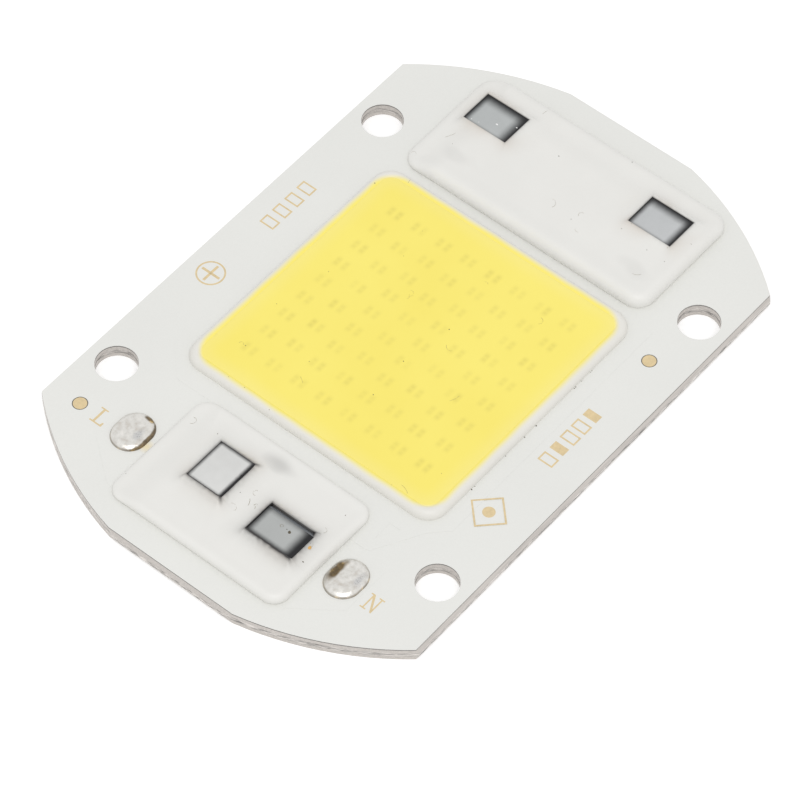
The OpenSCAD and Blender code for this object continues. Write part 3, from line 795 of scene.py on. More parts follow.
def package_material(package, film, compound, bevel):
    """Transfer-moulded epoxy, black and finely pitted, under a film of white silicone.

    The film pools on the top and thins to nothing toward each side, where the black epoxy shows.
    bevel is the tone of the bevelled edge.
    """
    x1, y1, x2, y2 = package.hole
    material, tree, shader = new_material("black_epoxy_under_silicone_film_" + package.node)
    place = add(tree, "ShaderNodeTexCoord").outputs["Object"]
    # the film's edge wanders by 0.04 mm
    ragged = add(tree, "ShaderNodeTexNoise", {"Vector": place, "Scale": 3500.0, "Detail": 3.0})
    wander = add(
        tree,
        "ShaderNodeVectorMath",
        {0: ragged.outputs["Color"], 1: (0.00009, 0.00009, 0.0), 2: place},
        operation="MULTIPLY_ADD",
    )
    split = add(tree, "ShaderNodeSeparateXYZ", {0: wander})
    cover = 1.0
    sides = (("X", x1, 1), ("Y", y1, 1), ("X", x2, -1), ("Y", y2, -1))
    for (axis, wall, sign), (start, whole) in zip(sides, package.rims):
        fade = add(
            tree,
            "ShaderNodeMapRange",
            {
                "Value": split.outputs[axis],
                "From Min": wall + 0.000045 + sign * start * MM,
                "From Max": wall + 0.000045 + sign * whole * MM,
            },
            interpolation_type="SMOOTHSTEP",
        )
        cover = add(tree, "ShaderNodeMath", {0: cover, 1: fade}, operation="MULTIPLY")
    # only the flat top holds the film
    facing = add(
        tree,
        "ShaderNodeSeparateXYZ",
        {0: add(tree, "ShaderNodeNewGeometry").outputs["Normal"]},
    )
    top = add(
        tree,
        "ShaderNodeMapRange",
        {"Value": facing.outputs["Z"], "From Min": 0.8, "From Max": 0.95},
    )
    cover = add(tree, "ShaderNodeMath", {0: cover, 1: top}, operation="MULTIPLY")
    # clouds in the film, 1 mm across
    clouds = add(tree, "ShaderNodeTexNoise", {"Vector": place, "Scale": 900.0, "Detail": 3.0})
    cloudy = ramp_stops(
        add(tree, "ShaderNodeValToRGB", {0: clouds}),
        (0.3, [c * 0.97 for c in film]),
        (0.7, [min(1.0, c * 1.02) for c in film]),
    )
    sloping = add(
        tree,
        "ShaderNodeMapRange",
        {"Value": facing.outputs["X"], "From Min": 0.5, "From Max": 0.6},
    )
    upward = add(
        tree,
        "ShaderNodeMapRange",
        {"Value": facing.outputs["Z"], "From Min": 0.4, "From Max": 0.5},
    )
    on_bevel = add(tree, "ShaderNodeMath", {0: sloping, 1: upward}, operation="MULTIPLY")
    epoxy = add(
        tree,
        "ShaderNodeMix",
        {0: on_bevel, 6: rgba(compound), 7: rgba(bevel)},
        data_type="RGBA",
    )
    mixed = add(
        tree,
        "ShaderNodeMix",
        {0: cover, 6: epoxy.outputs[2], 7: cloudy.outputs[0]},
        data_type="RGBA",
    )
    tree.links.new(mixed.outputs[2], shader.inputs["Base Color"])
    shader.inputs["Roughness"].default_value = 0.5
    shader.inputs["IOR"].default_value = 1.45
    shader.inputs["Specular IOR Level"].default_value = 0.3
    # moulding pits, 0.2 mm
    bump = add(
        tree, "ShaderNodeBump", {"Strength": 0.15, "Distance": 0.00002, "Height": ragged}
    )
    tree.links.new(bump.outputs[0], shader.inputs["Normal"])
    return material


def solder_material(look):
    """Tin-lead solder, hand applied and left to freeze.

    Silvery white and mottled where it froze smooth, dull and pitted where it froze last, with burnt
    flux, brown, in the crevice round its edge, and gold patches in it that are painted highlights.
    The attribute dull pits it, and the attribute flux browns it.
    """
    material, tree, shader = new_material("hand_applied_tin_lead_solder")
    place = add(tree, "ShaderNodeTexCoord").outputs["Object"]
    dull = add(tree, "ShaderNodeAttribute", attribute_name="dull")
    flux = add(tree, "ShaderNodeAttribute", attribute_name="flux")
    # dendrites and mottling, 0.5 mm
    clouds = add(
        tree,
        "ShaderNodeTexNoise",
        {"Vector": place, "Scale": 1800.0, "Detail": 5.0, "Roughness": 0.6},
    )
    tone = ramp_stops(
        add(tree, "ShaderNodeValToRGB", {0: clouds}),
        (0.3, srgb("C8C2BA")),
        (0.5, look.solder_colour[:]),
        (0.72, srgb("E9E6E1")),
    )
    # pits 0.15 mm across
    pits = add(tree, "ShaderNodeTexVoronoi", {"Vector": place, "Scale": 6500.0})
    pitted_tone = ramp_stops(
        add(tree, "ShaderNodeValToRGB", {0: pits.outputs["Distance"]}),
        (0.1, srgb("8A8B8E")),
        (0.5, srgb("C0C0C0")),
    )
    grey = add(
        tree,
        "ShaderNodeMix",
        {0: dull.outputs["Fac"], 6: tone.outputs[0], 7: pitted_tone.outputs[0]},
        data_type="RGBA",
    )
    # burnt flux: brown, with gold patches painted in as the highlights on it
    burnt = ramp_stops(
        add(tree, "ShaderNodeValToRGB", {0: clouds}),
        (0.4, look.flux_colour[:]),
        (0.58, [c * 2.2 for c in look.flux_colour]),
        (0.66, srgb("C9A860")),
    )
    brown = add(
        tree,
        "ShaderNodeMix",
        {0: flux.outputs["Fac"], 6: grey.outputs[2], 7: burnt.outputs[0]},
        data_type="RGBA",
    )
    tree.links.new(brown.outputs[2], shader.inputs["Base Color"])
    metal = add(
        tree,
        "ShaderNodeMapRange",
        {"Value": flux.outputs["Fac"], "To Min": 0.9, "To Max": 0.2},
    )
    tree.links.new(metal.outputs[0], shader.inputs["Metallic"])
    rough = add(
        tree,
        "ShaderNodeMapRange",
        {"Value": dull.outputs["Fac"], "To Min": 0.32, "To Max": 0.6},
    )
    tree.links.new(rough.outputs[0], shader.inputs["Roughness"])
    rippled = add(
        tree,
        "ShaderNodeMath",
        {0: pits.outputs["Distance"], 1: dull.outputs["Fac"], 2: clouds},
        operation="MULTIPLY_ADD",
    )
    bump = add(
        tree, "ShaderNodeBump", {"Strength": 0.5, "Distance": 0.00008, "Height": rippled}
    )
    tree.links.new(bump.outputs[0], shader.inputs["Normal"])
    return material


# ---- shared ways to make a piece ----


def deselect_all():
    """Leaves nothing selected, so that an operator acts on its own piece and not on a CAD node."""
    if bpy.context.object and bpy.context.object.mode != "OBJECT":
        bpy.ops.object.mode_set(mode="OBJECT")
    bpy.ops.object.select_all(action="DESELECT")


def grid_lines(low, high, marks, step):
    """Places of grid lines from low to high, about step apart, with one on every mark."""
    stops = sorted({low, high, *[m for m in marks if low < m < high]})
    lines = [low]
    for start, end in zip(stops, stops[1:]):
        count = max(1, round((end - start) / step))
        lines += [start + (end - start) * (k + 1) / count for k in range(count)]
    return lines


class Outline:
    """A rectangle with round corners in plan."""

    def __init__(self, low, high, corner):
        self.low, self.high, self.corner = low, high, corner

    def inward(self, x, y):
        """Distance in from the outline, and less than nothing outside it."""
        out = []
        for value, low, high in ((x, self.low[0], self.high[0]), (y, self.low[1], self.high[1])):
            out.append(abs(value - (low + high) / 2) - (high - low) / 2 + self.corner)
        beyond = math.hypot(max(out[0], 0.0), max(out[1], 0.0))
        return self.corner - beyond - min(max(out), 0.0)


class SoftSheet:
    """Plan of a poured or dispensed piece: a crest line round a rectangle with round corners, an
    edge that falls from it to the board, and openings for what stands through it."""

    def __init__(self, low, high, corner, edge, step, openings=()):
        self.low, self.high, self.corner, self.edge, self.step = low, high, corner, edge, step
        self.openings = openings

    def crest(self, u, v):
        """For a place on the flat grid: the nearest point on the line that the corners turn about,
        the outward direction, and the distance from there."""
        cu = min(max(u, self.low[0] + self.corner), self.high[0] - self.corner)
        cv = min(max(v, self.low[1] + self.corner), self.high[1] - self.corner)
        du, dv = u - cu, v - cv
        reach = max(abs(du), abs(dv))
        if reach < NO_REACH:
            return cu, cv, 0.0, 0.0, 0.0
        if abs(du) < NO_REACH:
            return cu, cv, 0.0, math.copysign(1.0, dv), reach
        if abs(dv) < NO_REACH:
            return cu, cv, math.copysign(1.0, du), 0.0, reach
        if abs(du) >= abs(dv):
            angle = math.pi / 4 * abs(dv) / abs(du)
        else:
            angle = math.pi / 2 - math.pi / 4 * abs(du) / abs(dv)
        return cu, cv, math.copysign(math.cos(angle), du), math.copysign(math.sin(angle), dv), reach

    def build(self, name, foot, edge_profile, skin, attributes=()):
        """Makes the piece. edge_profile(t) gives how far out of the crest and how high the edge's
        skin is, with t from 0 at the board to 1 on the crest, and skin(x, y) the height inside the
        crest. attributes are (name, function of x, y and z) pairs kept on the mesh for its
        material."""
        # finer lines beside an opening, where the tone and the height change fast
        beside = (0.06, 0.12, 0.2, 0.3, 0.45)
        steps = [k * MM for k in (*(-b for b in beside), 0.0, *beside)]
        cut_x = [c + d for o in self.openings for c in (o[0], o[2]) for d in steps]
        cut_y = [c + d for o in self.openings for c in (o[1], o[3]) for d in steps]
        lines = []
        for k, cuts in ((0, cut_x), (1, cut_y)):
            marks = [
                self.low[k],
                self.low[k] + self.corner,
                self.high[k] - self.corner,
                self.high[k],
                *cuts,
            ]
            start, end = self.low[k] - self.edge, self.high[k] + self.edge
            lines.append(grid_lines(start, end, marks, self.step))
        xs, ys = lines
        deselect_all()
        bpy.ops.mesh.primitive_grid_add(
            x_subdivisions=len(xs) - 1, y_subdivisions=len(ys) - 1, size=2, location=(0, 0, 0)
        )
        piece = bpy.context.object
        piece.name = piece.data.name = name
        for vertex in piece.data.vertices:
            i = round((vertex.co.x + 1) / 2 * (len(xs) - 1))
            j = round((vertex.co.y + 1) / 2 * (len(ys) - 1))
            vertex.co = (xs[i], ys[j], 0.0)
        bpy.ops.object.mode_set(mode="EDIT")
        mesh = bmesh.from_edit_mesh(piece.data)
        inside = []
        for face in mesh.faces:
            c = face.calc_center_median()
            face.select_set(any(o[0] < c.x < o[2] and o[1] < c.y < o[3] for o in self.openings))
            inside.append(face.select)
        bmesh.update_edit_mesh(piece.data)
        if any(inside):
            bpy.ops.mesh.delete(type="FACE")
        bpy.ops.mesh.select_all(action="SELECT")
        bpy.ops.mesh.extrude_region_move(TRANSFORM_OT_translate={"value": (0, 0, 1)})
        bpy.ops.object.mode_set(mode="OBJECT")
        for vertex in piece.data.vertices:
            u, v, upper = vertex.co.x, vertex.co.y, vertex.co.z > 0.5
            cu, cv, out_x, out_y, reach = self.crest(u, v)
            if reach <= self.corner + NO_REACH:
                x, y = cu + out_x * reach, cv + out_y * reach
                z = skin(x, y) if upper else foot
            else:
                t = 1 - (reach - self.corner) / self.edge
                out, z = edge_profile(t if upper else 0.0)
                if upper:
                    x, y = cu + out_x * self.corner, cv + out_y * self.corner
                    # a low crest has a low edge all the way down
                    share = (skin(x, y) - BOARD_TOP) / (edge_profile(1.0)[1] - BOARD_TOP)
                    z = BOARD_TOP + (z - BOARD_TOP) * (share if z > BOARD_TOP else 1.0)
                else:
                    out, z = out * (1 - t), foot
                x = cu + out_x * (self.corner + out)
                y = cv + out_y * (self.corner + out)
            vertex.co = (x, y, z)
        bpy.ops.object.mode_set(mode="EDIT")
        bpy.ops.mesh.select_all(action="SELECT")
        bpy.ops.mesh.remove_doubles(threshold=MERGE)
        bpy.ops.mesh.normals_make_consistent(inside=False)
        bpy.ops.object.mode_set(mode="OBJECT")
        bpy.ops.object.shade_smooth_by_angle(angle=SOFT_ANGLE)
        for label, value in attributes:
            layer = piece.data.attributes.new(label, "FLOAT", "POINT")
            layer.data.foreach_set("value", [value(*v.co) for v in piece.data.vertices])
        return piece


def bead_profile(width, height, top, foot):
    """Edge of a bead of that width and height over top, down to foot: a function of t as SoftSheet
    takes it, the furthest that it stands out of its crest, and the length of its skin."""
    radius = (height * height + width * width / 4) / (2 * height)
    centre = top + height - radius
    start = math.asin(max(-1.0, (foot - centre) / radius))
    sweep = math.pi / 2 - start

    def profile(t):
        angle = start + sweep * t
        return radius * math.cos(angle), centre + radius * math.sin(angle)

    return profile, radius if centre > top else width / 2, radius * sweep


def crest_box(node, stand_out):
    """The rectangle round which a node's crest runs, from its box."""
    low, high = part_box(node)
    return (low.x + stand_out, low.y + stand_out), (high.x - stand_out, high.y - stand_out)


def footprint(node, trim=0.0):
    """A node's box in plan as (x1, y1, x2, y2), drawn in by trim."""
    low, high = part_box(node)
    return low.x + trim, low.y + trim, high.x - trim, high.y - trim


def finish_piece(piece, material, slot, *nodes):
    """Gives a piece its material, rides it on the board and hides the nodes that it stands for."""
    piece.data.materials.clear()
    piece.data.materials.append(material)
    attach(piece, "root")
    if nodes:
        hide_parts(*nodes)


class Package:
    """A moulded package that stands out of the potting, and the silicone that meets it: how high
    it stands and how dark it looks at each place round the package, where it shows through thin
    silicone and where shade is painted round its foot, and how both fall away to the fill.

    Values for the four sides are given for -X, -Y, +X and +Y in turn."""

    def __init__(self, node, trims, drops, tones, blur, reach, rims, spikes=(), shade_haze=0.15):
        """Lengths are in millimetres. trims are how far in from the package's widest line the
        silicone ends, drops how far below the package's top, tones how dark it is there, blur how
        far that fades, and reach the width of its slope. rims are where the film on the top starts
        and where it is whole, both in from there. spikes are dark points that run out from
        corners, as {(x sign, y sign): strength}, and haze is the part of the tone that fades
        slowly: painted shade that spreads from the package's foot over the silicone."""
        low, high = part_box(node)
        self.node = node
        self.hole = (
            low.x + trims[0] * MM,
            low.y + trims[1] * MM,
            high.x - trims[2] * MM,
            high.y - trims[3] * MM,
        )
        self.top = footprint(node)
        self.drops, self.tones, self.blur, self.reach = drops, tones, blur * MM, reach * MM
        self.rims, self.spikes, self.shade_haze = rims, dict(spikes), shade_haze

    def nearest(self, x, y):
        """The nearest point of the opening, and how far off it is."""
        x1, y1, x2, y2 = self.hole
        px, py = min(max(x, x1), x2), min(max(y, y1), y2)
        return px, py, math.hypot(x - px, y - py)

    def along_walls(self, px, py, values):
        """One value for each side, blended round the corners."""
        x1, y1, x2, y2 = self.hole
        sides = (px - x1, py - y1, x2 - px, y2 - py)
        weights = [math.exp(-max(s, 0.0) / CORNER_BLEND) + 1e-12 for s in sides]
        return sum(w * v for w, v in zip(weights, values)) / sum(weights)

    def lift(self, x, y, fill):
        """How far the silicone is drawn up above the fill."""
        px, py, _ = self.nearest(x, y)
        drop = self.along_walls(px, py, self.drops)
        if x < self.hole[0]:
            drop = min(drop, self.drops[0])
        drop *= MM
        # it laps over the package's top and falls away from there
        x1, y1, x2, y2 = self.top
        away = math.hypot(max(x1 - x, x - x2, 0.0), max(y1 - y, y - y2, 0.0))
        return (PACKAGE_TOP - drop - fill) * math.exp(-((away / self.reach) ** 0.85))

    def away(self, x, y):
        return self.nearest(x, y)[2]

    def tone(self, x, y):
        """How far the package shows through the silicone, with the shade painted round its foot."""
        px, py, away = self.nearest(x, y)
        wall = self.along_walls(px, py, self.tones)
        ragged = 1 + 0.5 * ripple(x, y, 3000)
        dark = wall * math.exp(-away / (self.blur * ragged))
        # painted shade: a slow haze that spreads out from the package's foot, darkest where its
        # tone is
        dark += self.shade_haze * wall * math.exp(-away / SHADE_HAZE_REACH)
        x1, y1, x2, y2 = self.hole
        for (sx, sy), strength in self.spikes.items():
            dx, dy = (x - (x2 if sx > 0 else x1)) * sx, (y - (y2 if sy > 0 else y1)) * sy
            along, across = (dx + dy) / math.sqrt(2), (dx - dy) / math.sqrt(2)
            if along > -0.1 * MM:
                far = (across / SPIKE_WIDTH) ** 2 + (max(along, 0.0) / SPIKE_LENGTH) ** 2
                dark = max(dark, strength * math.exp(-far))
        return dark


RECTIFIER = Package(
    "bridge_rectifier",
    trims=(0.5, 0.18, 0.16, 0.12),
    drops=(0.0, 0.16, 0.0, 0.0),
    tones=(1.0, 0.85, 0.75, 0.65),
    blur=0.15,
    reach=0.55,
    rims=((-0.2, 0.3), (0.0, 0.4), (-0.08, 0.4), (-0.05, 0.4)),
    spikes={(-1, -1): 1.0, (1, -1): 0.9, (-1, 1): 0.6},
    shade_haze=0.25,
)
NEAR_DRIVER = Package(
    "driver_ic_near",
    trims=(0.5, 0.3, 0.14, 0.06),
    drops=(0.0, 0.14, 0.08, 0.0),
    tones=(1.0, 0.95, 0.55, 0.75),
    blur=0.2,
    reach=0.55,
    rims=((-0.15, 0.5), (0.05, 1.1), (0.0, 1.0), (-0.05, 0.7)),
    spikes={(-1, -1): 1.0, (1, -1): 0.8, (-1, 1): 0.6},
    shade_haze=0.5,
)
FAR_LEFT_DRIVER = Package(
    "driver_ic_far_left",
    trims=(0.13, 0.22, 0.36, 0.14),
    drops=(0.0, 0.0, 0.0, 0.0),
    tones=(0.25, 0.7, 0.75, 0.75),
    blur=0.07,
    reach=0.4,
    rims=((-0.35, 0.3), (0.0, 1.2), (0.0, 1.2), (0.0, 0.7)),
)
FAR_RIGHT_DRIVER = Package(
    "driver_ic_far_right",
    trims=(0.13, 0.4, 0.36, 0.06),
    drops=(0.0, 0.0, 0.0, 0.0),
    tones=(0.3, 0.75, 0.75, 0.7),
    blur=0.07,
    reach=0.4,
    rims=((-0.35, 0.35), (0.05, 0.9), (0.0, 1.1), (0.0, 0.6)),
)


# ---- the pieces ----


class COB_OT_board(bpy.types.Operator):
    """Gives the board's core, insulation, copper, mask and fiducials their finishes"""

    bl_idname = "cob.board"
    bl_label = "Board"
    bl_options = {"REGISTER", "UNDO"}

    def execute(self, context):
        look = context.scene.cob_board
        dress("base_plate", aluminium_core_material(look))
        dress("solder_mask", white_mask_material(look))
        # Ceramic-filled epoxy prepreg, pressed: dark grey-tan at its edge, with a mineral grain
        prepreg = plain_material(
            "ceramic_filled_epoxy_prepreg", srgb("6A6764"), 0.0, 0.6, 0.2, 0.18, 0.01
        )
        dress("dielectric_layer", prepreg)
        # Etched copper foil with an organic preservative: salmon brown, dull where it was brushed
        copper = plain_material("etched_copper_foil", srgb("C88F62"), 1.0, 0.4, 0.3, 0.1, 0.003)
        for node in (
            "copper_live",
            "copper_neutral",
            "copper_positive",
            "copper_islands",
            "copper_string_end",
            "copper_ground",
            "copper_sense",
        ):
            dress(node, copper)
        # Copper dots under preservative, seen through the mask's openings: an even tan
        dot = plain_material(
            "preserved_copper_dot", look.legend_colour[:], 0.0, 0.5, 0.25, 0.06, 0.004
        )
        dress("fiducial_dots", dot)
        return {"FINISHED"}


class COB_OT_emitters(bpy.types.Operator):
    """Finishes the chips and builds the dam and the phosphor gel"""

    bl_idname = "cob.emitters"
    bl_label = "Emitting field"
    bl_options = {"REGISTER", "UNDO"}

    def execute(self, context):
        look = context.scene.cob_gel
        # Blue indium gallium nitride flip chips on sapphire, sawn: glassy olive grey
        chip = plain_material(
            "gallium_nitride_flip_chip", srgb("7C8474"), 0.1, 0.25, 0.15, 0.1, 0.002
        )
        for row in LED_ROWS:
            dress(row, chip)
        self.build_dam(look)
        self.build_gel(look)
        return {"FINISHED"}

    @staticmethod
    def inside_yellow(crest, x, y):
        """Distance inside the crest, with the ragged line on which the yellow ends."""
        return crest.inward(x, y) + 0.1 * MM * ripple(x, y, 400)

    def build_dam(self, look):
        """The dam: a torus led round the crest line, with the bead's own section."""
        low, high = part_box("led_dam")
        height = high.z - BOARD_TOP
        profile, stand_out, _ = bead_profile(look.bead_width, height, BOARD_TOP, low.z)
        (x1, y1), (x2, y2) = crest_box("led_dam", stand_out)
        corner = look.bead_corner
        # points round the crest, no more than the 256 a torus can have
        path = []
        for cx, cy, start, end in (
            (x2 - corner, y2 - corner, 0.0, math.pi / 2),
            (x1 + corner, y2 - corner, math.pi / 2, math.pi),
            (x1 + corner, y1 + corner, math.pi, 1.5 * math.pi),
            (x2 - corner, y1 + corner, 1.5 * math.pi, 2 * math.pi),
        ):
            turn = [start + (end - start) * k / 12 for k in range(13)]
            path += [(cx, cy, math.cos(a), math.sin(a)) for a in turn]
            # straight side to the next corner, every 0.5 mm
            far = Vector((math.cos(end + math.pi / 2), math.sin(end + math.pi / 2)))
            run = (x2 - x1 if abs(far.x) > 0.5 else y2 - y1) - 2 * corner
            count = round(run / (0.5 * MM))
            for k in range(1, count):
                step = far * (run * k / count)
                path.append((cx + step.x, cy + step.y, math.cos(end), math.sin(end)))
        section = []
        for k in range(25):
            out, z = profile(k / 12 if k <= 12 else (24 - k) / 12)
            section.append((out if k <= 12 else -out, z))
        deselect_all()
        bpy.ops.mesh.primitive_torus_add(
            major_segments=len(path),
            minor_segments=len(section),
            major_radius=1.0,
            minor_radius=0.25,
            location=(0, 0, 0),
        )
        dam = bpy.context.object
        dam.name = dam.data.name = "silicone_dam"
        for k, vertex in enumerate(dam.data.vertices):
            cx, cy, out_x, out_y = path[k // len(section)]
            out, z = section[k % len(section)]
            along = Vector((cx + out_x * corner, cy + out_y * corner, 0.0))
            # the bead is a hair wider and narrower where the needle slowed and sped up
            swell = 1 + 0.025 * ripple(along.x, along.y, 700)
            vertex.co = (
                cx + out_x * (corner + out * swell),
                cy + out_y * (corner + out * swell),
                z,
            )
        bpy.ops.object.mode_set(mode="EDIT")
        bpy.ops.mesh.select_all(action="SELECT")
        bpy.ops.mesh.remove_doubles(threshold=MERGE)
        bpy.ops.mesh.normals_make_consistent(inside=False)
        bpy.ops.object.mode_set(mode="OBJECT")
        bpy.ops.object.shade_smooth_by_angle(angle=SOFT_ANGLE)
        # the gel's yellow shines through the inner slope and fades over the crest
        crest = Outline((x1, y1), (x2, y2), look.field_corner)
        glow = []
        for vertex in dam.data.vertices:
            inward = self.inside_yellow(crest, vertex.co.x, vertex.co.y)
            glow.append(smooth(-look.glow_outside, look.glow_inside, inward))
        layer = dam.data.attributes.new("glow", "FLOAT", "POINT")
        layer.data.foreach_set("value", glow)
        white = silicone_material(
            "white_silicone_dam", look.dam_colour[:], (("glow", look.gel_colour[:]),), 0.4
        )
        finish_piece(dam, white, "white_silicone", "led_dam")

    def build_gel(self, look):
        """The gel: a flat pour that fills the dam, its edge sunk a little as it wets the bead."""
        gel_low, gel_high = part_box("phosphor_gel")
        surface = gel_high.z - 0.02 * MM
        edge = 0.12 * MM
        low = (gel_low.x + edge, gel_low.y + edge)
        high = (gel_high.x - edge, gel_high.y - edge)
        dam_low, dam_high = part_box("led_dam")
        half_bead = look.bead_width / 2
        inset = dam_high.x - high[0] - half_bead
        corner = max(look.bead_corner - inset, 0.6 * MM)
        sheet = SoftSheet(low, high, corner, edge, SHEET_STEP)

        def skin(x, y):
            return surface + ripple(x, y, 160) * 0.006 * MM

        def edge_profile(t):
            return edge * (1 - t), surface - 0.05 * MM * (1 - t)

        crest = Outline(
            (dam_low.x + half_bead, dam_low.y + half_bead),
            (dam_high.x - half_bead, dam_high.y - half_bead),
            look.field_corner,
        )

        def thin(x, y, z):
            inward = self.inside_yellow(crest, x, y)
            pale = 1 - smooth(-look.glow_outside, look.glow_inside, inward)
            # painted highlight: a faint paling over the last 2 mm inside the crest stands in for
            # light on the gel's meniscus
            return max(pale, 0.09 * (1 - smooth(0.0, 2.0 * MM, inward)))

        shade = chip_places()
        gel = sheet.build(
            "phosphor_pool",
            BOARD_TOP,
            edge_profile,
            skin,
            (("thin", thin), ("chips", lambda x, y, z: shade(x, y))),
        )
        finish_piece(gel, phosphor_material(look), "phosphor_silicone", "phosphor_gel")


def chip_places():
    """A function that gives how strongly a chip shows through the gel at a place."""
    # chips by the millimetre of the plan that they are in or beside
    table = {}
    for row in LED_ROWS:
        mesh = frame["nodes"][row].data
        columns = sorted({round(v.co.x, 6) for v in mesh.vertices})
        lines = sorted({round(v.co.y, 6) for v in mesh.vertices})
        half_x, half_y = (columns[1] - columns[0]) / 2, (lines[1] - lines[0]) / 2
        for x in ((a + b) / 2 for a, b in zip(columns[::2], columns[1::2])):
            for y in ((a + b) / 2 for a, b in zip(lines[::2], lines[1::2])):
                for i in (-1, 0, 1):
                    for j in (-1, 0, 1):
                        cell = (round(x / MM) + i, round(y / MM) + j)
                        table.setdefault(cell, []).append((x, y))

    def shade(x, y):
        best = 0.0
        for cx, cy in table.get((round(x / MM), round(y / MM)), ()):
            dx, dy = abs(x - cx), y - cy
            strength = 0.8 + 0.7 * ripple(cx, cy, 900)
            body = smooth(half_x + 0.2 * MM, half_x - 0.25 * MM, dx) * smooth(
                half_y + 0.14 * MM, half_y - 0.12 * MM, abs(dy)
            )
            # the two metal pads under each chip are darker than the rest of it
            pads = math.exp(
                -(((dx - 0.24 * MM) / (0.16 * MM)) ** 2) - (dy / (0.17 * MM)) ** 2
            )
            best = max(best, strength * (0.15 * body + 0.17 * pads))
        return best

    return shade


class COB_OT_near_potting(bpy.types.Operator):
    """Builds the near potting, tented up to the rectifier and the near driver"""

    bl_idname = "cob.near_potting"
    bl_label = "Near potting"
    bl_options = {"REGISTER", "UNDO"}

    def execute(self, context):
        look = context.scene.cob_potting
        potting(
            "near_driver_potting",
            "near_potting",
            look,
            look.near_edge_width,
            look.near_dip,
            [RECTIFIER, NEAR_DRIVER],
            ["resistor_near"],
            0.25,
        )
        return {"FINISHED"}


class COB_OT_far_potting(bpy.types.Operator):
    """Builds the far potting, drawn up to the two far drivers"""

    bl_idname = "cob.far_potting"
    bl_label = "Far potting"
    bl_options = {"REGISTER", "UNDO"}

    def execute(self, context):
        look = context.scene.cob_potting
        potting(
            "far_driver_potting",
            "far_potting",
            look,
            look.far_edge_width,
            look.far_dip,
            [FAR_LEFT_DRIVER, FAR_RIGHT_DRIVER],
            ["resistor_far_left", "resistor_far_right"],
            0.07,
        )
        return {"FINISHED"}


def potting(name, node, look, edge_width, dip, walls, buried, patch_tone):
    """Builds one potting over its node, with what is buried in it showing as a faint grey patch. It
    ran out thin toward +X and +Y."""
    low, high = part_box(node)
    height = high.z - BOARD_TOP
    # the CAD solid is tallest where it meets a package, so its edge is measured on the fill
    crest = min(height, PACKAGE_TOP - BOARD_TOP)
    profile, stand_out, skin_length = bead_profile(edge_width, crest, BOARD_TOP, low.z)
    crest_low, crest_high = crest_box(node, stand_out)
    fill = BOARD_TOP + crest - dip
    patches = [footprint(b) for b in buried]

    def skin(x, y):
        z = fill
        near_edge = min(x - crest_low[0], crest_high[0] - x, y - crest_low[1], crest_high[1] - y)
        z += dip * (1 - smooth(0.0, edge_width, near_edge))
        z -= crest * max(
            look.run_out_x * (1 - smooth(0.0, look.run_out_width, crest_high[0] - x)),
            look.run_out_y * (1 - smooth(0.0, look.run_out_width, crest_high[1] - y)),
        )
        z += ripple(x, y, 220) * 0.02 * MM
        return z + max(w.lift(x, y, z) for w in walls)

    # the packages seen through thin silicone, with shade painted round their feet, and the buried
    # parts' faint grey patches
    def shade(x, y, z):
        darkest = max(wall.tone(x, y) for wall in walls)
        for x1, y1, x2, y2 in patches:
            # the fill is thinnest over its -Y end
            middle = (y1 + y2) / 2 - 0.45 * MM
            r = math.hypot((x - (x1 + x2) / 2) / (x2 - x1), (y - middle) / (y2 - y1))
            r += 0.25 * ripple(x, y, 700)
            darkest = max(darkest, patch_tone * (1 - smooth(0.12, 0.72, r)))
        return darkest

    def warmth(x, y, z):
        away = min(w.away(x, y) for w in walls)
        drift = smooth(-0.3, 0.4, ripple(x, y, 350))
        return 0.35 * drift * math.exp(-away / (0.6 * MM))

    sheet = SoftSheet(
        crest_low,
        crest_high,
        look.corner,
        skin_length,
        SHEET_STEP,
        [w.hole for w in walls],
    )
    piece = sheet.build(name, low.z, profile, skin, (("shade", shade), ("warmth", warmth)))
    stains = (("warmth", look.stain_colour[:]), ("shade", look.shadow_colour[:]))
    white = silicone_material("white_silicone_" + name, look.silicone_colour[:], stains, 0.42)
    finish_piece(piece, white, "white_silicone", node)


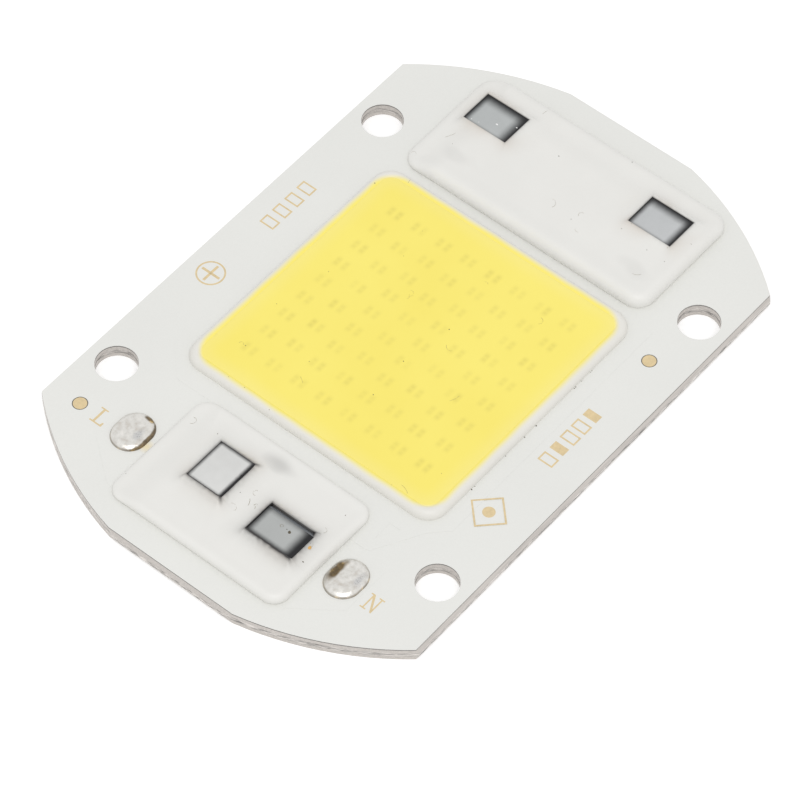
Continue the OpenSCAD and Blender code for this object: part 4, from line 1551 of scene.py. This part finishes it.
class COB_OT_driver(bpy.types.Operator):
    """Gives the packages, leads, resistors and solder joints their finishes"""

    bl_idname = "cob.driver"
    bl_label = "Driver"
    bl_options = {"REGISTER", "UNDO"}

    def execute(self, context):
        look = context.scene.cob_driver
        black = look.compound_colour[:]
        for package, film, bevel, bevel_width in (
            (RECTIFIER, look.bridge_film, black, 0.0),
            (NEAR_DRIVER, look.near_film, srgb("7C7F83"), 1.6 * look.bevel_width),
            (FAR_LEFT_DRIVER, look.far_left_film, black, look.bevel_width),
            (FAR_RIGHT_DRIVER, look.far_right_film, black, look.bevel_width),
        ):
            body = self.build_body(package.node, look, bevel_width)
            finish = package_material(package, film[:], black, bevel)
            finish_piece(body, finish, "mould_compound", package.node)
        # Copper alloy leads with a matt tin plating
        tin = plain_material("matt_tin_plated_leads", srgb("C9C9C6"), 1.0, 0.35, 0.2, 0.06, 0.002)
        for node in (
            "bridge_leads",
            "driver_leads_near",
            "driver_leads_far_left",
            "driver_leads_far_right",
            "resistor_caps",
        ):
            dress(node, tin)
        # Alumina chips under black overglaze
        glaze = plain_material("resistor_overglaze", srgb("2A2A2E"), 0.0, 0.3, 0.3, 0.15, 0.003)
        for node in ("resistor_near", "resistor_far_left", "resistor_far_right"):
            dress(node, glaze)
        # Reflowed tin-silver-copper solder
        reflowed = plain_material("reflowed_solder", srgb("C6C6C4"), 1.0, 0.28, 0.2, 0.08, 0.004)
        dress("solder_joints", reflowed)
        return {"FINISHED"}

    def build_body(self, node, look, bevel_width):
        """A moulded body: a cube set to the package's box, drawn in at its top by the mould's
        draft, bevelled on its first-lead side and a little worn round its edges."""
        low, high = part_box(node)
        top = high.z - look.sink
        deselect_all()
        centre = (low + high) / 2
        bpy.ops.mesh.primitive_cube_add(size=1.0, location=centre)
        body = bpy.context.object
        body.name = body.data.name = "moulded_" + node
        body.scale = (high.x - low.x, high.y - low.y, high.z - low.z)
        bpy.ops.object.transform_apply(location=True, rotation=True, scale=True)
        bpy.ops.object.mode_set(mode="EDIT")
        mesh = bmesh.from_edit_mesh(body.data)
        for vertex in mesh.verts:
            if vertex.co.z > centre.z:
                vertex.co.x -= math.copysign(look.draft_in, vertex.co.x - centre.x)
                vertex.co.y -= math.copysign(look.draft_in, vertex.co.y - centre.y)
                vertex.co.z = top
        for edge in mesh.edges:
            middle = (edge.verts[0].co + edge.verts[1].co) / 2
            first_side = middle.x > high.x - look.draft_in - MERGE
            edge.select_set(middle.z > top - MERGE and first_side)
        bmesh.update_edit_mesh(body.data)
        if bevel_width:
            bpy.ops.mesh.bevel(offset=bevel_width, offset_type="OFFSET", segments=1)
        bpy.ops.mesh.select_all(action="SELECT")
        bpy.ops.mesh.bevel(offset=0.03 * MM, offset_type="OFFSET", segments=2)
        bpy.ops.mesh.select_all(action="SELECT")
        bpy.ops.mesh.normals_make_consistent(inside=False)
        bpy.ops.object.mode_set(mode="OBJECT")
        bpy.ops.object.shade_smooth_by_angle(angle=CRISP_ANGLE)
        return body


class COB_OT_terminals(bpy.types.Operator):
    """Builds the hand-soldered lumps on the live and neutral terminals"""

    bl_idname = "cob.terminals"
    bl_label = "Terminals"
    bl_options = {"REGISTER", "UNDO"}

    def execute(self, context):
        look = context.scene.cob_driver
        solder = solder_material(look)
        self.build_lump(
            "solder_live",
            "live_solder",
            solder,
            seed=3.0,
            burns=(1.05, -0.25, 0.2, 0.35),
            pits=(-0.1, -0.4, 0.5, 0.3),
            rim=0.2,
        )
        self.build_lump(
            "solder_neutral",
            "neutral_solder",
            solder,
            seed=11.0,
            burns=(0.05, 0.62, 0.95, 0.3),
            pits=(0.15, -0.6, 0.6, 0.32),
            rim=0.03,
        )
        return {"FINISHED"}

    def build_lump(self, node, name, solder, seed, burns, pits, rim):
        """A lump of solder. burns and pits are ovals where it is burnt and where it is pitted, as
        (x, y, half length, half width) in half widths of the lump from its middle, and rim is how
        far in its edge is burnt toward -Y."""
        low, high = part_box(node)
        half_w = (high.y - low.y) / 2
        height = high.z - BOARD_TOP
        edge = 0.35 * MM
        crest_low = (low.x + edge, low.y + edge)
        crest_high = (high.x - edge, high.y - edge)
        centre = (low + high) / 2
        sheet = SoftSheet(crest_low, crest_high, half_w - edge, edge, 0.06 * MM)

        def dome(x, y):
            """0 in the middle and 1 at the outline of the stadium."""
            dx = max(abs(x - centre.x) - ((high.x - low.x) / 2 - half_w), 0.0)
            return min(math.hypot(dx, y - centre.y) / half_w, 1.0)

        def skin(x, y):
            r = dome(x, y)
            z = 0.9 * max(1 - r**6, 0.0) ** 0.6
            z += 0.12 * ripple(x, y, 700, seed * MM) * (1 - r * r)
            z += 0.05 * ripple(x, y, 2200, seed * MM) * (1 - r * r)
            return BOARD_TOP + height * min(max(z, 0.0), 1.0)

        def edge_profile(t):
            return edge * (1 - t), BOARD_TOP + height * 0.72 * max(t, 0.0) ** 0.5

        def oval(x, y, spot, blur):
            """1 inside a ragged oval, which blurs over that part of its size."""
            u, v = (x - centre.x) / half_w - spot[0], (y - centre.y) / half_w - spot[1]
            ragged = 0.35 * ripple(x, y, 1600, seed * MM)
            return 1 - smooth(1 - blur, 1.05, math.hypot(u / spot[2], v / spot[3]) + ragged)

        def dull(x, y, z):
            return 0.75 * oval(x, y, pits, 0.7)

        def flux(x, y, z):
            edge_burn = 0.6 * smooth(0.92, 0.985, dome(x, y))
            # the crescent is centred near -Y and reaches 78 degrees to each side
            heading = math.atan2(y - centre.y, x - centre.x)
            turn = abs(heading + math.radians(85)) / math.radians(78)
            inner = 1 - rim * max(1 - turn * turn, 0.0)
            inner += 0.05 * ripple(x, y, 2500, seed * MM)
            crescent = 0.95 * smooth(inner, inner + 0.05, dome(x, y)) if turn < 1 else 0.0
            return max(edge_burn, crescent, oval(x, y, burns, 0.5))

        lump = sheet.build(name, low.z, edge_profile, skin, (("dull", dull), ("flux", flux)))
        finish_piece(lump, solder, "solder", node)


def drop_onto(piece, x, y):
    """Where a line straight down meets a piece: whether it does, the point and the normal."""
    start = Vector((x, y, CAD_HIGH.z + 1.0 * MM))
    return piece.ray_cast(start, Vector((0, 0, -1)))[:3]


def mask_level(x, y):
    """Height of the solder mask's skin at a place on the board."""
    hit, place, _ = drop_onto(frame["nodes"]["solder_mask"], x, y)
    return place.z if hit else BOARD_TOP


def rectangle(x, y, half_x, half_y):
    """Corners of a rectangle about a place, going round to the left."""
    return [
        (x - half_x, y - half_y),
        (x + half_x, y - half_y),
        (x + half_x, y + half_y),
        (x - half_x, y + half_y),
    ]


def flat_shape(points, rim=0.0):
    """A thin plate on the mask with that outline, given going round to the left as (x, y) pairs,
    or only a rim of it that wide."""
    deselect_all()
    bpy.ops.mesh.primitive_circle_add(vertices=len(points), radius=1.0, fill_type="NGON")
    shape = bpy.context.object
    level = max(mask_level(x, y) for x, y in points)
    for vertex, (x, y) in zip(shape.data.vertices, points):
        vertex.co = (x, y, level)
    bpy.ops.object.mode_set(mode="EDIT")
    bpy.ops.mesh.select_all(action="SELECT")
    if rim:
        bpy.ops.mesh.inset(thickness=rim, use_even_offset=True)
        bpy.ops.mesh.delete(type="FACE")
    bpy.ops.mesh.select_all(action="SELECT")
    bpy.ops.mesh.extrude_region_move(TRANSFORM_OT_translate={"value": (0, 0, MARK_THICKNESS)})
    bpy.ops.mesh.select_all(action="SELECT")
    bpy.ops.mesh.normals_make_consistent(inside=False)
    bpy.ops.object.mode_set(mode="OBJECT")
    return shape


def join_pieces(name, pieces):
    """Joins pieces into one of that name."""
    deselect_all()
    for piece in pieces:
        piece.select_set(True)
    bpy.context.view_layer.objects.active = pieces[0]
    bpy.ops.object.join()
    whole = bpy.context.object
    whole.name = whole.data.name = name
    return whole


def ring_points(x, y, radius, count=40):
    turn = [2 * math.pi * k / count for k in range(count)]
    return [(x + radius * math.cos(a), y + radius * math.sin(a)) for a in turn]


class COB_OT_legend(bpy.types.Operator):
    """Draws the terminal letters and the plain alignment and lot marks on the solder mask"""

    bl_idname = "cob.legend"
    bl_label = "Legend"
    bl_options = {"REGISTER", "UNDO"}

    # Outlines of the two letters, in parts of their height, with u along the line and v up
    LIVE = (
        (0, 0), (0.76, 0), (0.76, 0.26), (0.68, 0.26), (0.64, 0.085), (0.3, 0.085),
        (0.3, 0.92), (0.46, 0.92), (0.46, 1), (0, 1), (0, 0.92), (0.17, 0.92),
        (0.17, 0.085), (0, 0.085),
    )  # fmt: skip
    NEUTRAL = (
        (0, 0), (0.34, 0), (0.34, 0.075), (0.21, 0.075), (0.21, 0.77), (0.62, 0),
        (0.7, 0), (0.7, 0.925), (0.82, 0.925), (0.82, 1), (0.49, 1), (0.49, 0.925),
        (0.62, 0.925), (0.62, 0.24), (0.23, 1), (0, 1), (0, 0.925), (0.13, 0.925),
        (0.13, 0.075), (0, 0.075),
    )  # fmt: skip

    def execute(self, context):
        look = context.scene.cob_board
        stroke = look.stroke
        low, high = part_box("solder_mask")
        live_low, live_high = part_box("solder_live")
        neutral_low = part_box("solder_neutral")[0]
        # each letter lies beside its solder, away from the potting
        live_width = look.letter_height * max(u for u, v in self.LIVE)
        live_start = live_high.y + look.letter_gap + live_width
        neutral_start = neutral_low.y - look.letter_gap
        marks = [
            self.letter(self.LIVE, live_low.x + look.letter_inset, live_start, look),
            self.letter(self.NEUTRAL, neutral_low.x + look.letter_inset, neutral_start, look),
        ]
        # an alignment mark: a ring with a cross through it
        x, y = low.x + 25.0 * MM, high.y - 2.5 * MM
        marks.append(flat_shape(ring_points(x, y, 1.3 * MM), stroke))
        for dx, dy in ((0.95, 0.12), (0.12, 0.95)):
            marks.append(flat_shape(rectangle(x, y, dx * MM, dy * MM)))
        # four open lot boxes
        for k in range(4):
            marks.append(self.open_box(low.x + (32.4 + 1.6 * k) * MM, high.y - 2.7 * MM, stroke))
        # five date boxes on the other side, two of them filled
        for k in range(5):
            x, y = low.x + (28.0 + 1.45 * k) * MM, low.y + 3.6 * MM
            if k in (1, 4):
                marks.append(flat_shape(rectangle(x, y, 0.42 * MM, 0.7 * MM)))
            else:
                marks.append(self.open_box(x, y, stroke))
        # a second alignment mark: a square on its corner with a dot
        x, y = low.x + 20.8 * MM, low.y + 4.0 * MM
        reach = 1.9 * MM
        corners = [(x + reach, y), (x, y + reach), (x - reach, y), (x, y - reach)]
        marks.append(flat_shape(corners, stroke))
        marks.append(flat_shape(ring_points(x, y, 0.55 * MM, 24)))
        legend = join_pieces("open_legend", marks)
        # The copper shows through the mask's fine openings, under a clear preservative: a dull tan
        tan = plain_material(
            "copper_through_open_mask", look.legend_colour[:], 0.0, 0.5, 0.3, 0.08, 0.002
        )
        finish_piece(legend, tan, "fiducial_copper")
        return {"FINISHED"}

    def letter(self, outline, x, y, look):
        """A letter with its foot at x, that starts at y and reads toward -Y."""
        size = look.letter_height
        return flat_shape([(x + v * size, y - u * size) for u, v in outline])

    def open_box(self, x, y, stroke):
        """A small box drawn in outline, 1 by 1.5 mm."""
        return flat_shape(rectangle(x, y, 0.5 * MM, 0.75 * MM), stroke)


class COB_OT_dust(bpy.types.Operator):
    """Scatters the fine fibres, grains and flux flecks that stick to the silicone, and white grains
    painted as glints on a far driver
    """

    bl_idname = "cob.dust"
    bl_label = "Dust"
    bl_options = {"REGISTER", "UNDO"}

    def execute(self, context):
        pieces = context.scene.objects
        chance = random.Random(DUST_SEED)
        fibres, grains = [], []
        for name, fibre_count, grain_count in (
            ("phosphor_pool", 9, 10),
            ("silicone_dam", 2, 8),
            ("near_driver_potting", 5, 6),
            ("far_driver_potting", 8, 9),
        ):
            surface = pieces[name]
            corners = [Vector(c) for c in surface.bound_box]
            low = Vector(min(c[k] for c in corners) for k in range(3))
            high = Vector(max(c[k] for c in corners) for k in range(3))
            for k in range(fibre_count + grain_count):
                place = None
                while place is None:
                    x, y = chance.uniform(low.x, high.x), chance.uniform(low.y, high.y)
                    place = self.surface_point(surface, x, y)
                if k < fibre_count:
                    fibres.append(self.fibre(surface, place, chance))
                else:
                    grains.append(self.grain(place, chance.uniform(0.022, 0.05) * MM, chance))
        # by the near driver: three hairs toward the rectifier, and a curl and grains on its film
        near = pieces["near_driver_potting"]
        body = pieces["moulded_" + NEAR_DRIVER.node]
        for surface, dx, dy, heading, bend, step in (
            (near, 0.45, 3.85, 0.25, 0.08, 0.1),
            (near, 0.75, 3.5, 0.0, -0.3, 0.06),
            (near, 0.5, 3.2, 0.1, 0.2, 0.05),
            (body, 0.35, 0.05, 0.3, 0.8, 0.11),
        ):
            place = self.beside(NEAR_DRIVER, surface, dx * MM, dy * MM)
            fibres.append(self.hair(surface, place, 0.018 * MM, heading, bend, step * MM))
        for dx, dy, radius in ((0.28, -0.7, 0.14), (0.36, -0.35, 0.05), (-1.0, -3.2, 0.06)):
            surface = body if abs(dy) < 2 else near
            place = self.beside(NEAR_DRIVER, surface, dx * MM, dy * MM)
            grains.append(self.grain(place, radius * MM, chance))
        # grains caught along the foot of the dam
        low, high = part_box("led_dam")
        foot = low.y - 0.04 * MM
        for _ in range(10):
            x = chance.uniform(low.x + 4 * MM, high.x - 1 * MM)
            place = Vector((x, foot, mask_level(x, foot)))
            grains.append(self.grain(place, chance.uniform(0.03, 0.08) * MM, chance))
        # Textile fibre, olive brown
        cloth = plain_material("textile_fibre", srgb("8C8266"), 0.0, 0.7, 0.1, 0.15, 0.002)
        finish_piece(join_pieces("stuck_fibres", fibres), cloth, None)
        # Soot and metal dust, nearly black
        soot = plain_material("soot_grain", srgb("57503F"), 0.0, 0.6, 0.05, 0.3, 0.004)
        finish_piece(join_pieces("stuck_grains", grains), soot, None)
        # Rosin flux: a clear amber fleck beside the near driver
        place = self.beside(NEAR_DRIVER, near, 0.3 * MM, -2.75 * MM)
        fleck = self.grain(place, 0.16 * MM, chance)
        fleck.name = fleck.data.name = "flux_fleck"
        amber = plain_material("rosin_flux", srgb("D8A95C"), 0.0, 0.35, 0.2, 0.12, 0.003)
        finish_piece(fleck, amber, None)
        # Painted glints: bright white grains on the left far driver's film, standing in for where
        # it catches the light
        far = pieces["moulded_" + FAR_LEFT_DRIVER.node]
        chips = []
        for dx, dy, radius in (
            (-0.5, -0.45, 0.08),
            (-1.4, 1.6, 0.04),
            (0.3, -2.0, 0.05),
            (-1.3, 0.9, 0.03),
        ):
            place = self.beside(FAR_LEFT_DRIVER, far, dx * MM, dy * MM)
            chips.append(self.grain(place, radius * MM, chance))
        pale = plain_material("painted_glint_white", srgb("F4F4F2"), 0.0, 0.3, 0.1, 0.02, 0.002)
        finish_piece(join_pieces("painted_glint_grains", chips), pale, None)
        return {"FINISHED"}

    def beside(self, package, surface, dx, dy):
        """A point on a surface, at that distance from the middle of a package."""
        x1, y1, x2, y2 = package.hole
        return self.surface_point(surface, (x1 + x2) / 2 + dx, (y1 + y2) / 2 + dy)

    @staticmethod
    def surface_point(surface, x, y):
        """The surface's point over a place, or nothing where a package stands through it."""
        hit, place, normal = drop_onto(surface, x, y)
        return place if hit and normal.z > 0.5 else None

    def fibre(self, surface, place, chance):
        """A hair whose length, heading and bend are left to chance."""
        return self.hair(
            surface,
            place,
            chance.uniform(0.008, 0.014) * MM,
            chance.uniform(0, 2 * math.pi),
            chance.uniform(-0.5, 0.5),
            chance.uniform(0.05, 0.17) * MM,
        )

    def hair(self, surface, place, radius, heading, bend, step):
        """A bent hair, extruded step by step from a small ring along the surface."""
        deselect_all()
        bpy.ops.mesh.primitive_circle_add(
            vertices=5,
            radius=radius,
            fill_type="NGON",
            location=place,
            rotation=(0, math.pi / 2, heading),
        )
        hair = bpy.context.object
        bpy.ops.object.transform_apply(location=True, rotation=True, scale=True)
        bpy.ops.object.mode_set(mode="EDIT")
        x, y, z = place
        for _ in range(7):
            nx, ny = x + step * math.cos(heading), y + step * math.sin(heading)
            under = self.surface_point(surface, nx, ny)
            if under is None:
                break
            bpy.ops.mesh.extrude_region_move(
                TRANSFORM_OT_translate={"value": (nx - x, ny - y, under.z - z)}
            )
            x, y, z = under
            heading += bend
        bpy.ops.mesh.select_all(action="SELECT")
        bpy.ops.mesh.normals_make_consistent(inside=False)
        bpy.ops.object.mode_set(mode="OBJECT")
        # pressed flat where it crosses the highest silicone
        for vertex in hair.data.vertices:
            vertex.co.z = min(vertex.co.z, CAD_HIGH.z)
        return hair

    def grain(self, place, radius, chance):
        """A lumpy grain, half sunk in the silicone."""
        deselect_all()
        bpy.ops.mesh.primitive_ico_sphere_add(subdivisions=2, radius=radius, location=place)
        grain = bpy.context.object
        grain.scale = (1.0, chance.uniform(0.6, 1.4), 0.35)
        bpy.ops.object.transform_apply(location=True, rotation=True, scale=True)
        bpy.ops.object.mode_set(mode="EDIT")
        mesh = bmesh.from_edit_mesh(grain.data)
        for vertex in mesh.verts:
            out = vertex.co - place
            vertex.co = place + out * (1 + 0.5 * noise.noise(vertex.co * 20000))
            vertex.co.z = min(vertex.co.z, CAD_HIGH.z)
        bmesh.update_edit_mesh(grain.data)
        bpy.ops.object.mode_set(mode="OBJECT")
        return grain


class COB_OT_stage(bpy.types.Operator):
    """Sets the pale floor, the soft lights and the camera"""

    bl_idname = "cob.stage"
    bl_label = "Stage"
    bl_options = {"REGISTER", "UNDO"}

    def execute(self, context):
        scene = context.scene
        self.make_floor(scene.cob_light)
        self.make_world(scene, scene.cob_light)
        self.make_lamps(scene.cob_light)
        self.make_camera(scene, scene.cob_camera)
        scene.view_settings.view_transform = "Standard"
        return {"FINISHED"}

    def make_floor(self, light):
        deselect_all()
        # a hair below the board's underside
        bpy.ops.mesh.primitive_plane_add(size=4.0, location=(0, 0, CAD_LOW.z - 0.02 * MM))
        floor = bpy.context.object
        floor.name = floor.data.name = "floor"
        material, tree, shader = new_material("matt_white_backdrop")
        shader.inputs["Base Color"].default_value = rgba(srgb("EDEDED"))
        shader.inputs["Roughness"].default_value = 0.9
        shader.inputs["Specular IOR Level"].default_value = 0.0
        rays = add(tree, "ShaderNodeLightPath")
        seen = add(
            tree,
            "ShaderNodeMath",
            {0: rays.outputs["Is Camera Ray"], 1: rays.outputs["Is Glossy Ray"]},
            operation="MAXIMUM",
        )
        glow = add(
            tree,
            "ShaderNodeMath",
            {0: seen, 1: light.floor_glow},
            operation="MULTIPLY",
        )
        shader.inputs["Emission Color"].default_value = (1, 1, 1, 1)
        tree.links.new(glow.outputs[0], shader.inputs["Emission Strength"])
        floor.data.materials.append(material)

    def make_world(self, scene, light):
        world = bpy.data.worlds.new("studio")
        scene.world = world
        world.use_nodes = True
        tree = world.node_tree
        tree.nodes.clear()
        rays = add(tree, "ShaderNodeLightPath")
        seen = add(
            tree,
            "ShaderNodeMath",
            {0: rays.outputs["Is Camera Ray"], 1: rays.outputs["Is Transmission Ray"]},
            operation="MAXIMUM",
        )
        shown = add(
            tree,
            "ShaderNodeMath",
            {0: seen, 1: rays.outputs["Is Glossy Ray"]},
            operation="MAXIMUM",
        )
        colour = (1, 1, 1, 1)
        plain = add(tree, "ShaderNodeBackground", {"Color": colour, "Strength": light.ambient})
        white = add(tree, "ShaderNodeBackground", {"Color": colour, "Strength": 1.0})
        mixed = add(tree, "ShaderNodeMixShader", {0: shown, 1: plain, 2: white})
        add(tree, "ShaderNodeOutputWorld", {"Surface": mixed})

    def make_lamps(self, light):
        lamp = bpy.data.lights.new("key_softbox", "AREA")
        lamp.shape = "SQUARE"
        lamp.size = 0.35
        lamp.energy = light.key_power
        key = bpy.data.objects.new("key_softbox", lamp)
        bpy.context.scene.collection.objects.link(key)
        # 0.6 m off, high over the -X-Y corner
        key.location = (-0.22, -0.2, 0.55)
        aim = (Vector((0, 0, 0)) - key.location).to_track_quat("-Z", "Y")
        key.rotation_euler = aim.to_euler()

    def make_camera(self, scene, view):
        data = bpy.data.cameras.new("camera")
        data.sensor_width = 36.0
        data.lens = view.lens
        data.clip_start, data.clip_end = 0.01, 10.0
        camera = bpy.data.objects.new("camera", data)
        scene.collection.objects.link(camera)
        a, e, r = view.azimuth, view.elevation, view.roll
        back = Vector((math.sin(a) * math.cos(e), -math.cos(a) * math.cos(e), math.sin(e)))
        right = Vector((math.cos(a), math.sin(a), 0.0))
        up = back.cross(right)
        turned_right = right * math.cos(r) + up * math.sin(r)
        turned_up = up * math.cos(r) - right * math.sin(r)
        turn = Matrix((turned_right, turned_up, back)).transposed()
        target = Vector((view.aim_x, view.aim_y, BOARD_TOP))
        camera.matrix_world = Matrix.Translation(target + back * view.distance) @ turn.to_4x4()
        scene.camera = camera


STEPS = (
    COB_OT_board,
    COB_OT_emitters,
    COB_OT_near_potting,
    COB_OT_far_potting,
    COB_OT_driver,
    COB_OT_terminals,
    COB_OT_legend,
    COB_OT_dust,
    COB_OT_stage,
)


class COB_PT_look(bpy.types.Panel):
    """The steps that dress the module"""

    bl_idname = "COB_PT_look"
    bl_label = "COB LED module"
    bl_space_type = "VIEW_3D"
    bl_region_type = "UI"
    bl_category = "COB LED"

    def draw(self, context):
        for step in STEPS:
            self.layout.operator(step.bl_idname)


def register():
    for name, group in SETTINGS.items():
        bpy.utils.register_class(group)
        setattr(bpy.types.Scene, name, PointerProperty(type=group))
    for step in STEPS:
        bpy.utils.register_class(step)
    bpy.utils.register_class(COB_PT_look)


def unregister():
    bpy.utils.unregister_class(COB_PT_look)
    for step in reversed(STEPS):
        bpy.utils.unregister_class(step)
    for name, group in reversed(SETTINGS.items()):
        delattr(bpy.types.Scene, name)
        bpy.utils.unregister_class(group)


def main():
    register()
    bpy.ops.cob.board()
    bpy.ops.cob.emitters()
    bpy.ops.cob.near_potting()
    bpy.ops.cob.far_potting()
    bpy.ops.cob.driver()
    bpy.ops.cob.terminals()
    bpy.ops.cob.legend()
    bpy.ops.cob.dust()
    bpy.ops.cob.stage()


if __name__ == "__main__":
    main()
